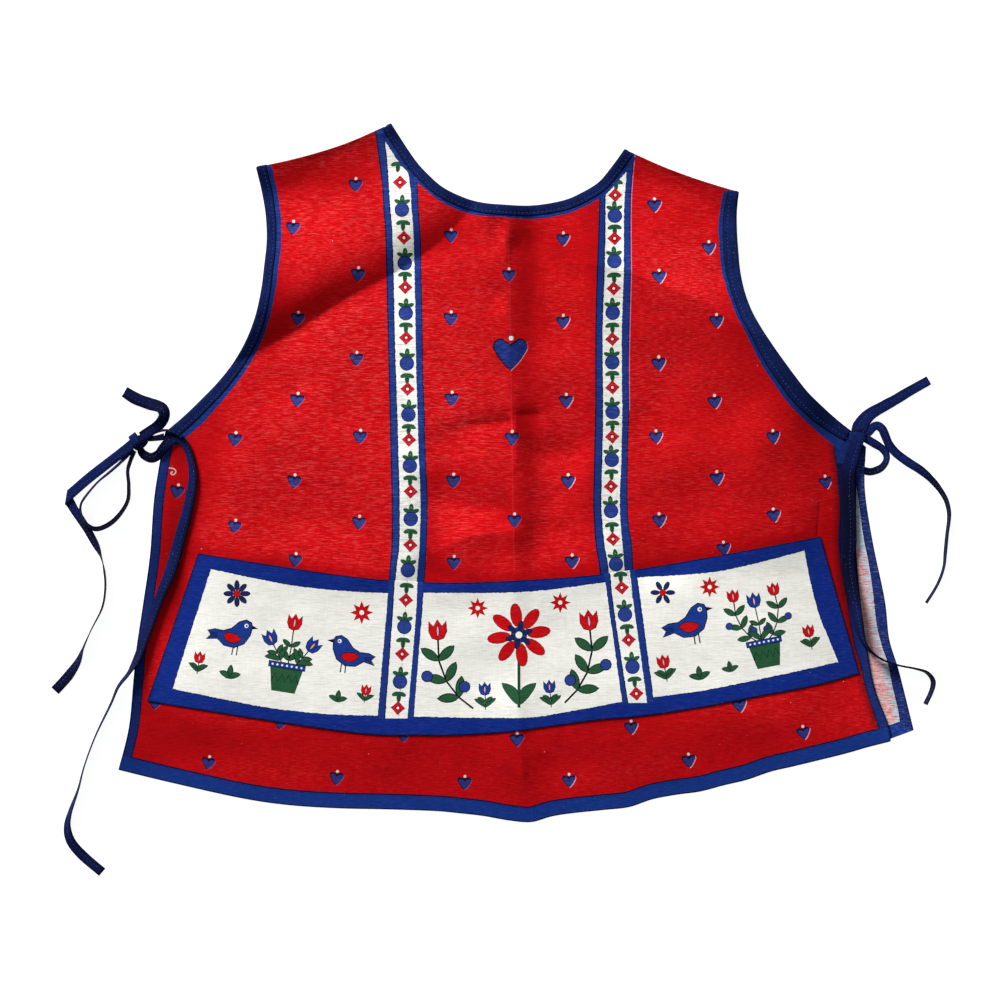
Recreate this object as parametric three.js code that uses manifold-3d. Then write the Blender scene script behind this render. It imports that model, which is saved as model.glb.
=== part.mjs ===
// Tabard apron laid flat: its front panel lies on its back panel, the neck and the
// armholes are bound with tape, a strip of pockets crosses the front, and the armhole
// tapes run on as ties that are knotted in a bow at each side.
// Millimetres. X runs across, Y from the hem to the neck and Z up. The origin is on the
// surface that the apron lies on, under the middle of its box.
import * as THREE from "three";
import { mergeVertices } from "three/addons/utils/BufferGeometryUtils.js";
import Module from "manifold-3d";

const wasm = await Module();
wasm.setup();

// Walls and gaps.
const CLOTH = 1; // one layer of panel cloth
const TAPE = 1; // one leg of the binding tape
const TIE = 1.2; // the tape closed on itself
const SEAM = 0.3; // between pieces that are sewn or lie together

// Widths of what runs along the edges.
const BINDING_WIDTH = 9.5;
const SIDE_HEM_WIDTH = 8;
const BOTTOM_HEM_WIDTH = 13;
const TIE_WIDTH = 9;

// How the cloth surface is divided.
const CELL = 40; // side of one square of the surface grid
const EDGE_STEP = 19; // between the points of a curved edge
const RISE_REACH = BINDING_WIDTH + CELL * Math.SQRT2; // full height this far from an edge
const RISE_FADE = 38; // and back to flat over this much more
const GRID_X = { start: -385, cells: 20 };
const GRID_Y = { start: -330, cells: 18 };
const PRISM = { bottom: -5, top: 30 }; // taller than the whole apron
const SAME_POINT = 1e-4; // corners nearer than this are one

// The front panel's edges, each a smooth curve through its rows.
const NECKLINE = [
  { x: -98, y: 337 },
  { x: -78, y: 306.5 },
  { x: -66, y: 292.5 },
  { x: -52, y: 280 },
  { x: -35, y: 271.5 },
  { x: -17, y: 266 },
  { x: 1, y: 264 },
  { x: 28, y: 263.5 },
  { x: 56, y: 268 },
  { x: 73, y: 275 },
  { x: 89, y: 285 },
  { x: 101, y: 299 },
  { x: 112, y: 314 },
];
const LEFT_ARMHOLE = [
  { x: -301, y: 60 },
  { x: -284, y: 74.5 },
  { x: -267.5, y: 90 },
  { x: -252, y: 106 },
  { x: -238, y: 124 },
  { x: -226.5, y: 143.5 },
  { x: -218, y: 165 },
  { x: -213, y: 188 },
  { x: -210.5, y: 210 },
  { x: -208.5, y: 232 },
  { x: -209.5, y: 254.5 },
  { x: -213, y: 276 },
  { x: -218, y: 298 },
];
const RIGHT_ARMHOLE = [
  { x: 213.5, y: 276 },
  { x: 212, y: 259.5 },
  { x: 212, y: 241.5 },
  { x: 213, y: 223.5 },
  { x: 214.5, y: 205.5 },
  { x: 218, y: 187.5 },
  { x: 224, y: 170 },
  { x: 232.5, y: 154 },
  { x: 242.5, y: 138.5 },
  { x: 253, y: 124 },
  { x: 263.5, y: 110 },
  { x: 275, y: 96 },
  { x: 288.5, y: 83.5 },
  { x: 302, y: 72 },
  { x: 316, y: 61 },
];
const LEFT_SHOULDER = [
  { x: -218, y: 298 },
  { x: -177, y: 307.5 },
  { x: -137, y: 320 },
  { x: -98, y: 337 },
];
const RIGHT_SHOULDER = [
  { x: 112, y: 314 },
  { x: 145.5, y: 299 },
  { x: 179.5, y: 286.5 },
  { x: 213.5, y: 276 },
];
const RIGHT_SIDE = [
  { x: 316, y: 61 },
  { x: 320, y: 27 },
  { x: 320, y: -40 },
  { x: 324, y: -90 },
  { x: 331, y: -140 },
  { x: 337, y: -170 },
  { x: 350, y: -205 },
  { x: 351, y: -217 },
];
const HEM = [
  { x: 351, y: -217 },
  { x: 329.5, y: -222.5 },
  { x: 308.5, y: -228.5 },
  { x: 265.5, y: -239 },
  { x: 244, y: -244 },
  { x: 222, y: -251.5 },
  { x: 201, y: -256.5 },
  { x: 180, y: -262 },
  { x: 158, y: -265 },
  { x: 137, y: -269 },
  { x: 116, y: -276 },
  { x: 94, y: -278.5 },
  { x: 65, y: -281.5 },
  { x: 46, y: -284.5 },
  { x: 28, y: -289.5 },
  { x: 8, y: -288 },
  { x: -15, y: -284 },
  { x: -37, y: -281.5 },
  { x: -59, y: -279.5 },
  { x: -103, y: -278 },
  { x: -147, y: -277 },
  { x: -192, y: -274 },
  { x: -235, y: -267.5 },
  { x: -300, y: -253 },
  { x: -343, y: -242.5 },
];
const LEFT_SIDE = [
  { x: -343, y: -242.5 },
  { x: -333.5, y: -204 },
  { x: -329, y: -157 },
  { x: -327, y: -135 },
  { x: -320.5, y: -91.5 },
  { x: -314, y: -47 },
  { x: -310, y: 5 },
  { x: -301, y: 60 },
];

// The back panel has the same cut. It lies a little inside the front's edges, and shows
// past them at its right side.
const BACK_INSET = 1.5;
const BACK_RIGHT_SIDE = [
  { x: 329, y: 47 },
  { x: 328, y: 10 },
  { x: 335, y: -37 },
  { x: 346, y: -90 },
  { x: 350, y: -125 },
  { x: 359, y: -155 },
  { x: 372, y: -207 },
];

// The pocket strip's edges.
const POCKET_TOP = [
  { x: -271, y: -48 },
  { x: -139, y: -68 },
  { x: -60, y: -74 },
  { x: 20, y: -72 },
  { x: 119, y: -63 },
  { x: 288, y: -33 },
];
const POCKET_BOTTOM = [
  { x: 323, y: -156 },
  { x: 116, y: -196 },
  { x: 15, y: -209 },
  { x: -70, y: -212.5 },
  { x: -137, y: -209 },
  { x: -317, y: -181 },
];

// Soft folds of the front panel: a ridge along a line, with its height and its reach
// to each side.
const FOLDS = [
  { name: "centre crease", x1: 7, y1: 300, x2: 26, y2: -300, height: 4, reach: 60 },
  { name: "left chest", x1: -225, y1: 150, x2: -95, y2: 205, height: 5, reach: 70 },
  { name: "right chest", x1: 215, y1: 165, x2: 115, y2: 215, height: 6, reach: 65 },
  { name: "waist left", x1: -250, y1: 25, x2: -40, y2: 75, height: 2, reach: 60 },
  { name: "waist right", x1: 70, y1: 60, x2: 270, y2: 35, height: 2, reach: 60 },
];

// The ties. Each is a flat tape, given by the points of its middle line. lift is its
// height over what lies under it, or over the floor at a row with floor: 1. turn is how
// far it stands on edge, in degrees, and wide is its width where it is crumpled. At a row
// with a fold it is turned back on itself.
const LEFT_TIES = {
  left_front_tie: [
    { x: -303.5, y: 54.2, lift: 4.6, wide: 6, floor: 1 },
    { x: -311, y: 52.5, lift: 3, wide: 5, floor: 1 },
    { x: -317.9, y: 52.6, lift: 1.4, wide: 4.5, floor: 1 },
  ],
  left_back_tie: [
    { x: -300.2, y: 60, lift: 1, wide: 4, floor: 1 },
    { x: -309, y: 60.4, lift: 0.2, wide: 4, floor: 1 },
    { x: -316, y: 59.2, lift: 0, wide: 4, floor: 1 },
    { x: -322, y: 57.8, lift: 0, wide: 4, floor: 1 },
  ],
  left_flat_loop: [
    { x: -322.3, y: 56.9, lift: 3.6, floor: 1 },
    { x: -312, y: 64.5, lift: 3.6, floor: 1 },
    { x: -305, y: 71, lift: 3.6, turn: 20, floor: 1 },
    { x: -302, y: 78, lift: 3.2, turn: 30, floor: 1 },
    { x: -306, y: 85, lift: 3.2, turn: 15, floor: 1 },
    { x: -316, y: 89.5, lift: 2.2, floor: 1 },
    { x: -326, y: 92.5, lift: 1.8, floor: 1 },
    { x: -336.5, y: 97.5, lift: 1.6, fold: true, floor: 1 },
    { x: -326, y: 92.5, lift: 0, floor: 1 },
    { x: -316, y: 89, lift: 0, floor: 1 },
    { x: -308, y: 83.5, lift: 0, wide: 7, floor: 1 },
    { x: -305, y: 77, lift: 0, wide: 6, floor: 1 },
    { x: -307.5, y: 71.5, lift: 0.6, wide: 6, floor: 1 },
    { x: -313, y: 66, lift: 1.6, wide: 6, floor: 1 },
    { x: -322, y: 59.4, lift: 1.8, wide: 6, floor: 1 },
  ],
  left_inner_loop: [
    { x: -330.5, y: 46.2, lift: 0, wide: 4 },
    { x: -341, y: 34, lift: 0, turn: 30, wide: 5 },
    { x: -352, y: 24.5, lift: 0, turn: 80, wide: 8 },
    { x: -361, y: 16.5, lift: 0, turn: 90 },
    { x: -371, y: 5, lift: 0, turn: 90 },
    { x: -376, y: -3, lift: 1.4, turn: 90 },
    { x: -376.5, y: -11, lift: 1.7, turn: 85 },
    { x: -373, y: -20, lift: 1.7, turn: 70 },
    { x: -364, y: -26, lift: 1.7, turn: 60 },
    { x: -353, y: -23, lift: 0.6, turn: 60 },
    { x: -343, y: -14.5, lift: 0, turn: 75 },
    { x: -334.5, y: -1, lift: 0, turn: 90 },
    { x: -333.5, y: 13, lift: 0, turn: 90 },
    { x: -334.5, y: 26, lift: 0, turn: 90 },
    { x: -332, y: 36, lift: 0, turn: 60, wide: 6 },
    { x: -328.5, y: 44.2, lift: 0, wide: 3 },
  ],
  left_long_tail: [
    { x: -331.8, y: 49.5, lift: 2.6 },
    { x: -341, y: 42, lift: 2.6 },
    { x: -354, y: 32, lift: 1.4 },
    { x: -370, y: 19.5, lift: 1.5 },
    { x: -389.5, y: 2.5, lift: 1.5, fold: true },
    { x: -383.5, y: -8, lift: 0, wide: 8 },
    { x: -378, y: -16.5, lift: 0, wide: 7.5 },
    { x: -370.5, y: -28, lift: 0, wide: 7 },
    { x: -363.5, y: -40, lift: 0, turn: 35, wide: 8 },
    { x: -358.5, y: -51, lift: 0, turn: 75 },
    { x: -355.5, y: -64, lift: 0, turn: 90 },
    { x: -354.6, y: -79, lift: 0, turn: 90 },
    { x: -357.5, y: -97, lift: 0, turn: 90 },
    { x: -367.5, y: -117, lift: 0, turn: 85 },
    { x: -374.5, y: -133, lift: 0, turn: 75 },
    { x: -379.5, y: -146, lift: 0, turn: 45 },
    { x: -388, y: -158, lift: 0, turn: 10 },
    { x: -400.5, y: -171.5, lift: 0 },
  ],
  left_front_tail: [
    { x: -323.9, y: 45.8, lift: 0, wide: 4, floor: 1 },
    { x: -320.5, y: 40.3, lift: 0, turn: 30, wide: 6, floor: 1 },
    { x: -314, y: 37.5, lift: 1, turn: 50, wide: 7, floor: 1 },
    { x: -307.5, y: 39.5, lift: 0.4, turn: 50, wide: 7 },
    { x: -302, y: 46, lift: 0.4, turn: 30, wide: 7 },
    { x: -296.5, y: 53, lift: 0.3, turn: 10, wide: 8 },
    { x: -289.5, y: 56.5, lift: 0.3, turn: 0, wide: 8 },
    { x: -283, y: 51, lift: 0.3, turn: 10, wide: 7 },
    { x: -278.6, y: 40.5, lift: 0.3, turn: 30, wide: 7 },
    { x: -275.9, y: 27, lift: 0.3, turn: 50 },
    { x: -275.9, y: 13, lift: 0.3, turn: 50 },
    { x: -281.5, y: -11, lift: 0.3, turn: 40 },
    { x: -288, y: -31, lift: 0.3, turn: 30 },
    { x: -296, y: -60, lift: 0.3, turn: 30 },
    { x: -306, y: -88, lift: 0.3, turn: 40 },
    { x: -316.5, y: -117, lift: 0.3, turn: 50 },
    { x: -325, y: -140, lift: 0.3, turn: 60 },
    { x: -333, y: -155, lift: 0.3, turn: 65 },
    { x: -343, y: -168, lift: 0, turn: 70 },
    { x: -350, y: -184, lift: 0, turn: 75 },
    { x: -363.5, y: -212, lift: 0, turn: 80 },
    { x: -373.5, y: -239, lift: 0, turn: 80 },
    { x: -379, y: -260, lift: 0, turn: 75 },
    { x: -386.5, y: -281, lift: 0, turn: 60 },
    { x: -389, y: -294, lift: 0, turn: 40 },
    { x: -386, y: -307, lift: 0, turn: 15 },
    { x: -376, y: -319.5, lift: 0 },
    { x: -358, y: -335, lift: 0 },
  ],
};
const RIGHT_TIES = {
  right_back_tie: [
    { x: 326.6, y: 53.2, lift: 1.2, wide: 4, floor: 1 },
    { x: 326.3, y: 58.9, lift: 1.2, wide: 4, floor: 1 },
  ],
  right_flat_loop: [
    { x: 325.5, y: 69.1, lift: 2.2, wide: 10, floor: 1 },
    { x: 325.6, y: 72.5, lift: 2.2, wide: 10, floor: 1 },
    { x: 330, y: 77, lift: 2.2, wide: 10, floor: 1 },
    { x: 337, y: 81.5, lift: 2, floor: 1 },
    { x: 347, y: 86.5, lift: 1.8, floor: 1 },
    { x: 358, y: 91.5, lift: 1.6, floor: 1 },
    { x: 371, y: 99, lift: 1.6, floor: 1 },
    { x: 384.5, y: 107, lift: 1.6, fold: true, floor: 1 },
    { x: 371, y: 99, lift: 0, floor: 1 },
    { x: 358, y: 91.5, lift: 0, floor: 1 },
    { x: 347, y: 86.5, lift: 0, floor: 1 },
    { x: 337, y: 81.5, lift: 0, floor: 1 },
    { x: 330, y: 77, lift: 0.3, floor: 1 },
    { x: 325.6, y: 72.5, lift: 0.4, floor: 1 },
    { x: 325.5, y: 69.2, lift: 0.5, floor: 1 },
  ],
  right_small_loop: [
    { x: 330.6, y: 58.5, lift: 3, wide: 4, floor: 1 },
    { x: 330.8, y: 57.6, lift: 3, wide: 5, floor: 1 },
    { x: 335, y: 54, lift: 3, turn: 10, wide: 6, floor: 1 },
    { x: 340.5, y: 51, lift: 2, turn: 20, wide: 7, floor: 1 },
    { x: 346.5, y: 46.5, lift: 1, turn: 40, wide: 7, floor: 1 },
    { x: 349, y: 38.5, lift: 0, turn: 60, wide: 8, floor: 1 },
    { x: 344.5, y: 29.5, lift: 0, turn: 50, wide: 8, floor: 1 },
    { x: 337, y: 25, lift: 0, turn: 25, wide: 8, floor: 1 },
    { x: 328.7, y: 24.5, lift: 0, wide: 8, floor: 1 },
  ],
  right_outer_tail: [
    { x: 333.1, y: 64.6, lift: 2, wide: 6, floor: 1 },
    { x: 335, y: 64.8, lift: 2, wide: 6, floor: 1 },
    { x: 337.5, y: 68, lift: 2, wide: 8, floor: 1 },
    { x: 341, y: 69, lift: 2, turn: 10, wide: 8, floor: 1 },
    { x: 345.8, y: 63.5, lift: 2, turn: 25, wide: 8, floor: 1 },
    { x: 351.5, y: 54, lift: 1.5, turn: 15, floor: 1 },
    { x: 359, y: 45.5, lift: 0.6, turn: 10, floor: 1 },
    { x: 368.5, y: 37, lift: 0, turn: 10, floor: 1 },
    { x: 380.5, y: 28, lift: 0, turn: 25, floor: 1 },
    { x: 390.5, y: 16.5, lift: 0, turn: 55, floor: 1 },
    { x: 398.5, y: 4, lift: 0, turn: 80, floor: 1 },
    { x: 402.8, y: -9, lift: 0, turn: 90, floor: 1 },
    { x: 403, y: -18, lift: 0, turn: 90, floor: 1 },
    { x: 401, y: -31, lift: 0, turn: 90, floor: 1 },
    { x: 399.6, y: -48, lift: 0, turn: 85, floor: 1 },
    { x: 399, y: -61, lift: 0, turn: 90, floor: 1 },
    { x: 393, y: -76, lift: 0, turn: 80, floor: 1 },
    { x: 383, y: -92.5, lift: 0, turn: 70, floor: 1 },
  ],
  right_front_tail: [
    { x: 320.8, y: 58.9, lift: 0.3, wide: 6 },
    { x: 320.6, y: 57, lift: 0.3, wide: 7 },
    { x: 318, y: 50, lift: 0.3 },
    { x: 315.5, y: 38, lift: 0.3, wide: 10 },
    { x: 314.3, y: 15, lift: 0.3, wide: 11 },
    { x: 313.5, y: -12, lift: 0.3, wide: 11 },
    { x: 313.5, y: -38, lift: 0.3, wide: 10.5 },
    { x: 315.5, y: -64, lift: 0.3, wide: 10, turn: 10 },
    { x: 319, y: -90, lift: 0.3, turn: 25 },
    { x: 323, y: -117, lift: 0.3, turn: 45 },
    { x: 328.5, y: -131, lift: 0.3, turn: 75 },
    { x: 337, y: -139.5, lift: 0.3, turn: 90 },
    { x: 347, y: -145, lift: 0.3, turn: 90 },
    { x: 358, y: -148.5, lift: 0.3, turn: 90 },
    { x: 373, y: -151.5, lift: 0, turn: 85 },
    { x: 383.5, y: -155, lift: 0, turn: 75 },
    { x: 389, y: -162.5, lift: 0, turn: 70 },
    { x: 387.5, y: -172, lift: 0, turn: 75 },
    { x: 382, y: -183.5, lift: 0, turn: 75 },
  ],
};

// The knots: long is along the tapes that they hold, wide across them.
const LEFT_KNOT = { x: -327, y: 53, angle: 38, long: 11, wide: 14, high: 7.5 };
const RIGHT_KNOT = { x: 325, y: 64, angle: 90, long: 9, wide: 15, high: 12 };
const KNOT_ROUNDING = 1.5;

// ---- outlines -------------------------------------------------------------------

// Points along the smooth curve through a table's rows.
function alongEdge(rows) {
  const curve = new THREE.SplineCurve(rows.map((row) => new THREE.Vector2(row.x, row.y)));
  const steps = Math.max(2, Math.round(curve.getLength() / EDGE_STEP));
  return curve.getSpacedPoints(steps);
}

// A line of points moved to its left by a distance, or to its right by a negative one.
function movedSideways(points, distance) {
  return points.map((point, i) => {
    const before = points[Math.max(0, i - 1)];
    const after = points[Math.min(points.length - 1, i + 1)];
    const along = after.clone().sub(before).normalize();
    return new THREE.Vector2(point.x - along.y * distance, point.y + along.x * distance);
  });
}

// The same line with its ends run on straight by a length.
function runOn(points, length) {
  const first = points[0];
  const last = points[points.length - 1];
  const out = first.clone().sub(points[1]).setLength(length).add(first);
  const on = last.clone().sub(points[points.length - 2]).setLength(length).add(last);
  return [out, ...points, on];
}

// One closed outline from edges that share their corners.
function joined(...lines) {
  return lines.flatMap((points) => points.slice(0, -1));
}

function distanceToLine(x, y, points) {
  let nearest = Infinity;
  for (let i = 1; i < points.length; i += 1) {
    nearest = Math.min(nearest, distanceToSegment(x, y, points[i - 1], points[i]));
  }
  return nearest;
}

function distanceToSegment(x, y, a, b) {
  const dx = b.x - a.x;
  const dy = b.y - a.y;
  const share = ((x - a.x) * dx + (y - a.y) * dy) / (dx * dx + dy * dy);
  const t = Math.min(1, Math.max(0, share));
  return Math.hypot(x - a.x - t * dx, y - a.y - t * dy);
}

function isInside(x, y, outline) {
  let inside = false;
  for (let i = 0, j = outline.length - 1; i < outline.length; j = i, i += 1) {
    const a = outline[i];
    const b = outline[j];
    const crosses = a.y > y !== b.y > y;
    if (crosses && x < a.x + ((b.x - a.x) * (y - a.y)) / (b.y - a.y)) inside = !inside;
  }
  return inside;
}

const edge = {
  neck: alongEdge(NECKLINE),
  rightArmhole: alongEdge(RIGHT_ARMHOLE),
  rightSide: alongEdge(RIGHT_SIDE),
  hem: alongEdge(HEM),
  leftSide: alongEdge(LEFT_SIDE),
  leftArmhole: alongEdge(LEFT_ARMHOLE),
  leftShoulder: alongEdge(LEFT_SHOULDER),
  rightShoulder: alongEdge(RIGHT_SHOULDER),
};
// Straight across each shoulder, from corner to corner.
const leftShoulder = [edge.leftArmhole.at(-1), edge.neck[0]];
const rightShoulder = [edge.neck.at(-1), edge.rightArmhole[0]];
// Neck to right armhole, down the right side, back along the hem and up the left side.
const frontOutline = joined(
  edge.neck,
  edge.rightShoulder,
  edge.rightArmhole,
  edge.rightSide,
  edge.hem,
  edge.leftSide,
  edge.leftArmhole,
  edge.leftShoulder,
);

// The back's own edges: inside the front's, and wider at the right side.
const backNeck = movedSideways(edge.neck, -BACK_INSET);
const backLeftArmhole = movedSideways(edge.leftArmhole, -BACK_INSET);
const backLeftSide = movedSideways(edge.leftSide, -BACK_INSET);
const backRightSide = alongEdge(BACK_RIGHT_SIDE);
const backRightArmhole = [
  ...movedSideways(edge.rightArmhole, -BACK_INSET).slice(0, -1),
  backRightSide[0],
];
const backHem = [
  backRightSide.at(-1),
  ...movedSideways(edge.hem, -BACK_INSET).slice(1, -1),
  backLeftSide[0],
];
const backOutline = [
  ...backNeck,
  ...edge.rightShoulder.slice(1, -1),
  ...backRightArmhole,
  ...backRightSide.slice(1),
  ...backHem.slice(1, -1),
  ...backLeftSide.slice(0, -1),
  ...backLeftArmhole,
  ...edge.leftShoulder.slice(1, -1),
];

// ---- the heights of the two layers ------------------------------------------------

// 1 beside an edge, falling smoothly to 0 away from it.
function closeTo(x, y, lines) {
  const distance = Math.min(...lines.map((points) => distanceToLine(x, y, points)));
  return 1 - THREE.MathUtils.smoothstep(distance, RISE_REACH, RISE_REACH + RISE_FADE);
}

const boundEdges = [edge.neck, edge.rightArmhole, edge.leftArmhole, backRightArmhole];
const turnedEdges = [edge.rightSide, backRightSide, edge.hem, edge.leftSide];

// Underside of the back panel: flat, and lifted by its tape along the bound edges.
function backHeight(x, y) {
  return closeTo(x, y, boundEdges) * (TAPE + SEAM);
}

// Underside of the front panel: on the back panel, lifted by both layers' tapes and
// turned hems at the edges, and by its folds.
function frontHeight(x, y) {
  const onBack = backHeight(x, y) + CLOTH + SEAM;
  const tapes = closeTo(x, y, boundEdges) * 2 * (TAPE + SEAM);
  const hems = closeTo(x, y, turnedEdges) * 2 * CLOTH;
  return onBack + Math.max(tapes, hems) + foldHeight(x, y);
}

function foldHeight(x, y) {
  const heights = FOLDS.map((fold) => {
    const a = { x: fold.x1, y: fold.y1 };
    const b = { x: fold.x2, y: fold.y2 };
    const distance = distanceToSegment(x, y, a, b);
    return fold.height * (1 - THREE.MathUtils.smoothstep(distance, 0, fold.reach));
  });
  return Math.max(...heights);
}

// ---- solids -----------------------------------------------------------------------

function solidFromGeometry(geometry) {
  geometry.deleteAttribute("normal");
  geometry.deleteAttribute("uv");
  const merged = mergeVertices(geometry, SAME_POINT);
  return new wasm.Manifold(
    new wasm.Mesh({
      numProp: 3,
      vertProperties: new Float32Array(merged.attributes.position.array),
      triVerts: new Uint32Array(merged.index.array),
    }),
  );
}

// The upright block over an outline.
function prism(outline) {
  const shape = new THREE.Shape(outline);
  const depth = PRISM.top - PRISM.bottom;
  const geometry = new THREE.ExtrudeGeometry(shape, { depth, bevelEnabled: false });
  return solidFromGeometry(geometry.translate(0, 0, PRISM.bottom));
}

// The solid between two surfaces on the shared grid, over an outline. Every piece of a
// layer uses the same grid, so the gaps between pieces stay even.
function between(outline, lower, upper) {
  const xs = outline.map((point) => point.x);
  const ys = outline.map((point) => point.y);
  const columns = gridLines(GRID_X, Math.min(...xs), Math.max(...xs));
  const rows = gridLines(GRID_Y, Math.min(...ys), Math.max(...ys));
  const count = columns.length * rows.length;
  const vertices = [];
  for (const height of [lower, upper]) {
    for (const y of rows) {
      for (const x of columns) vertices.push(x, y, height(x, y));
    }
  }
  const at = (i, j, layer) => layer * count + j * columns.length + i;
  const faces = [];
  const quad = (a, b, c, d) => faces.push(a, b, c, a, c, d);
  for (let j = 0; j + 1 < rows.length; j += 1) {
    for (let i = 0; i + 1 < columns.length; i += 1) {
      quad(at(i, j, 1), at(i + 1, j, 1), at(i + 1, j + 1, 1), at(i, j + 1, 1));
      // The same diagonal from below, so that both skins bend alike.
      faces.push(at(i, j, 0), at(i + 1, j + 1, 0), at(i + 1, j, 0));
      faces.push(at(i, j, 0), at(i, j + 1, 0), at(i + 1, j + 1, 0));
    }
  }
  const right = columns.length - 1;
  const far = rows.length - 1;
  for (let i = 0; i < right; i += 1) {
    quad(at(i, 0, 0), at(i + 1, 0, 0), at(i + 1, 0, 1), at(i, 0, 1));
    quad(at(i + 1, far, 0), at(i, far, 0), at(i, far, 1), at(i + 1, far, 1));
  }
  for (let j = 0; j < far; j += 1) {
    quad(at(0, j + 1, 0), at(0, j, 0), at(0, j, 1), at(0, j + 1, 1));
    quad(at(right, j, 0), at(right, j + 1, 0), at(right, j + 1, 1), at(right, j, 1));
  }
  const slab = new wasm.Manifold(
    new wasm.Mesh({
      numProp: 3,
      vertProperties: new Float32Array(vertices),
      triVerts: new Uint32Array(faces),
    }),
  );
  return slab.intersect(prism(outline));
}

// The grid lines that cover a stretch, with one more at each end.
function gridLines(grid, low, high) {
  const lines = [];
  for (let i = 0; i <= grid.cells; i += 1) {
    const line = grid.start + i * CELL;
    if (line > low - CELL && line < high + CELL) lines.push(line);
  }
  return lines;
}

const raised = (height, offset) => (x, y) => height(x, y) + offset;

// The outline of a band along an edge, from one sideways distance to another.
function band(points, inner, outer) {
  return [...movedSideways(points, inner), ...movedSideways(points, outer).reverse()];
}

// ---- panels -----------------------------------------------------------------------

const frontTop = raised(frontHeight, CLOTH);
const backTop = raised(backHeight, CLOTH);
const seamLevel = (x, y) => (backTop(x, y) + frontHeight(x, y)) / 2;

// The strip of cloth that turns down, or up, to the shoulder seam.
function shoulderStrip(points) {
  return band(points.slice(1, -1), -CLOTH, 0);
}

function turnedHems(hems, low, high) {
  return hems.map(({ points, width }) => between(band(points, -width, 0), low, high));
}

function frontPanel() {
  const half = raised(frontHeight, CLOTH / 2);
  const hems = turnedHems(
    [
      { points: edge.rightSide, width: SIDE_HEM_WIDTH },
      { points: edge.hem, width: BOTTOM_HEM_WIDTH },
      { points: edge.leftSide, width: SIDE_HEM_WIDTH },
    ],
    raised(frontHeight, -CLOTH),
    half,
  );
  const lips = [edge.leftShoulder, edge.rightShoulder].map((line) =>
    between(shoulderStrip(line), raised(seamLevel, SEAM / 2), half),
  );
  const sheet = between(frontOutline, frontHeight, frontTop);
  const bindings = bandPrisms(frontBands, SEAM);
  return [...hems.map((hem) => hem.subtract(bindings)), ...lips].reduce(
    (whole, piece) => whole.add(piece),
    sheet,
  );
}

function backPanel() {
  const half = raised(backHeight, CLOTH / 2);
  const hems = turnedHems(
    [
      { points: backRightSide, width: SIDE_HEM_WIDTH },
      { points: backHem, width: BOTTOM_HEM_WIDTH },
      { points: backLeftSide, width: SIDE_HEM_WIDTH },
    ],
    half,
    raised(backHeight, 2 * CLOTH),
  );
  const lips = [edge.leftShoulder, edge.rightShoulder].map((line) =>
    between(shoulderStrip(line), half, raised(seamLevel, -SEAM / 2)),
  );
  const sheet = between(backOutline, backHeight, backTop);
  const bindings = bandPrisms(backBands, SEAM);
  return [...hems.map((hem) => hem.subtract(bindings)), ...lips].reduce(
    (whole, piece) => whole.add(piece),
    sheet,
  );
}

// ---- bindings ---------------------------------------------------------------------

const OUT = SEAM + TAPE; // how far a binding stands past the cloth that it wraps

const frontBands = [edge.neck, edge.rightArmhole, edge.leftArmhole];
const backBands = [backNeck, backRightArmhole, backLeftArmhole];

// A tape's band over an edge, run on past the edge's ends, where it is cut to fit. A
// margin makes the band longer, for what is cut away from it.
function tapeBand(points, inner, outer, margin = 0) {
  return band(runOn(points, BINDING_WIDTH + margin), inner, outer);
}

// The blocks over a layer's bindings, a margin wider than the tape.
function bandPrisms(lines, margin) {
  return lines
    .map((points) => prism(tapeBand(points, -BINDING_WIDTH - margin, OUT, margin)))
    .reduce((whole, piece) => whole.add(piece));
}

// The block past a shoulder line, from a distance outside it.
function beyond([from, to], distance) {
  return prism(band(runOn([from, to], CELL), distance, distance + CELL));
}

// The block outside a side edge, which ends a binding there.
function outsideOf(side) {
  return prism(band(runOn(side, CELL), 0, CELL));
}

// Tape folded round one layer's edge: what is within the tape, less the cloth. It is
// cut off past each shoulder, and at the side edge.
function wrap(points, height, shoulders, sides) {
  const whole = between(
    tapeBand(points, -BINDING_WIDTH, OUT),
    raised(height, -OUT),
    raised(height, CLOTH + OUT),
  );
  const room = between(
    tapeBand(points, -BINDING_WIDTH - CLOTH, SEAM, CLOTH),
    raised(height, -SEAM),
    raised(height, CLOTH + SEAM),
  );
  const without = (solid, distance) =>
    shoulders.reduce((rest, shoulder) => rest.subtract(beyond(shoulder, distance)), solid);
  const tape = without(whole, OUT).subtract(without(room, SEAM));
  return sides.reduce((rest, side) => rest.subtract(outsideOf(side)), tape);
}

// The turn of the tape over a shoulder, from the back layer up to the front one.
function turnOver(points, shoulder) {
  const low = raised(backHeight, -OUT);
  const high = raised(frontHeight, CLOTH + OUT);
  const column = between(tapeBand(points, -BINDING_WIDTH, OUT), low, high);
  return column.intersect(beyond(shoulder, SEAM)).subtract(beyond(shoulder, OUT));
}

function binding({ front, back, shoulders, frontSides = [], backSides = [] }) {
  const pieces = [
    wrap(front, frontHeight, shoulders, frontSides),
    wrap(back, backHeight, shoulders, backSides),
    ...shoulders.map((shoulder) => turnOver(front, shoulder)),
  ];
  return pieces.reduce((solid, piece) => solid.add(piece));
}

function neckBinding() {
  return binding({
    front: edge.neck,
    back: backNeck,
    shoulders: [leftShoulder, rightShoulder],
  });
}

function rightArmholeBinding() {
  return binding({
    front: edge.rightArmhole,
    back: backRightArmhole,
    shoulders: [rightShoulder],
    frontSides: [edge.rightSide],
    backSides: [backRightSide],
  });
}

function leftArmholeBinding() {
  return binding({
    front: edge.leftArmhole,
    back: backLeftArmhole,
    shoulders: [leftShoulder],
    frontSides: [edge.leftSide],
    backSides: [backLeftSide],
  });
}

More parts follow.
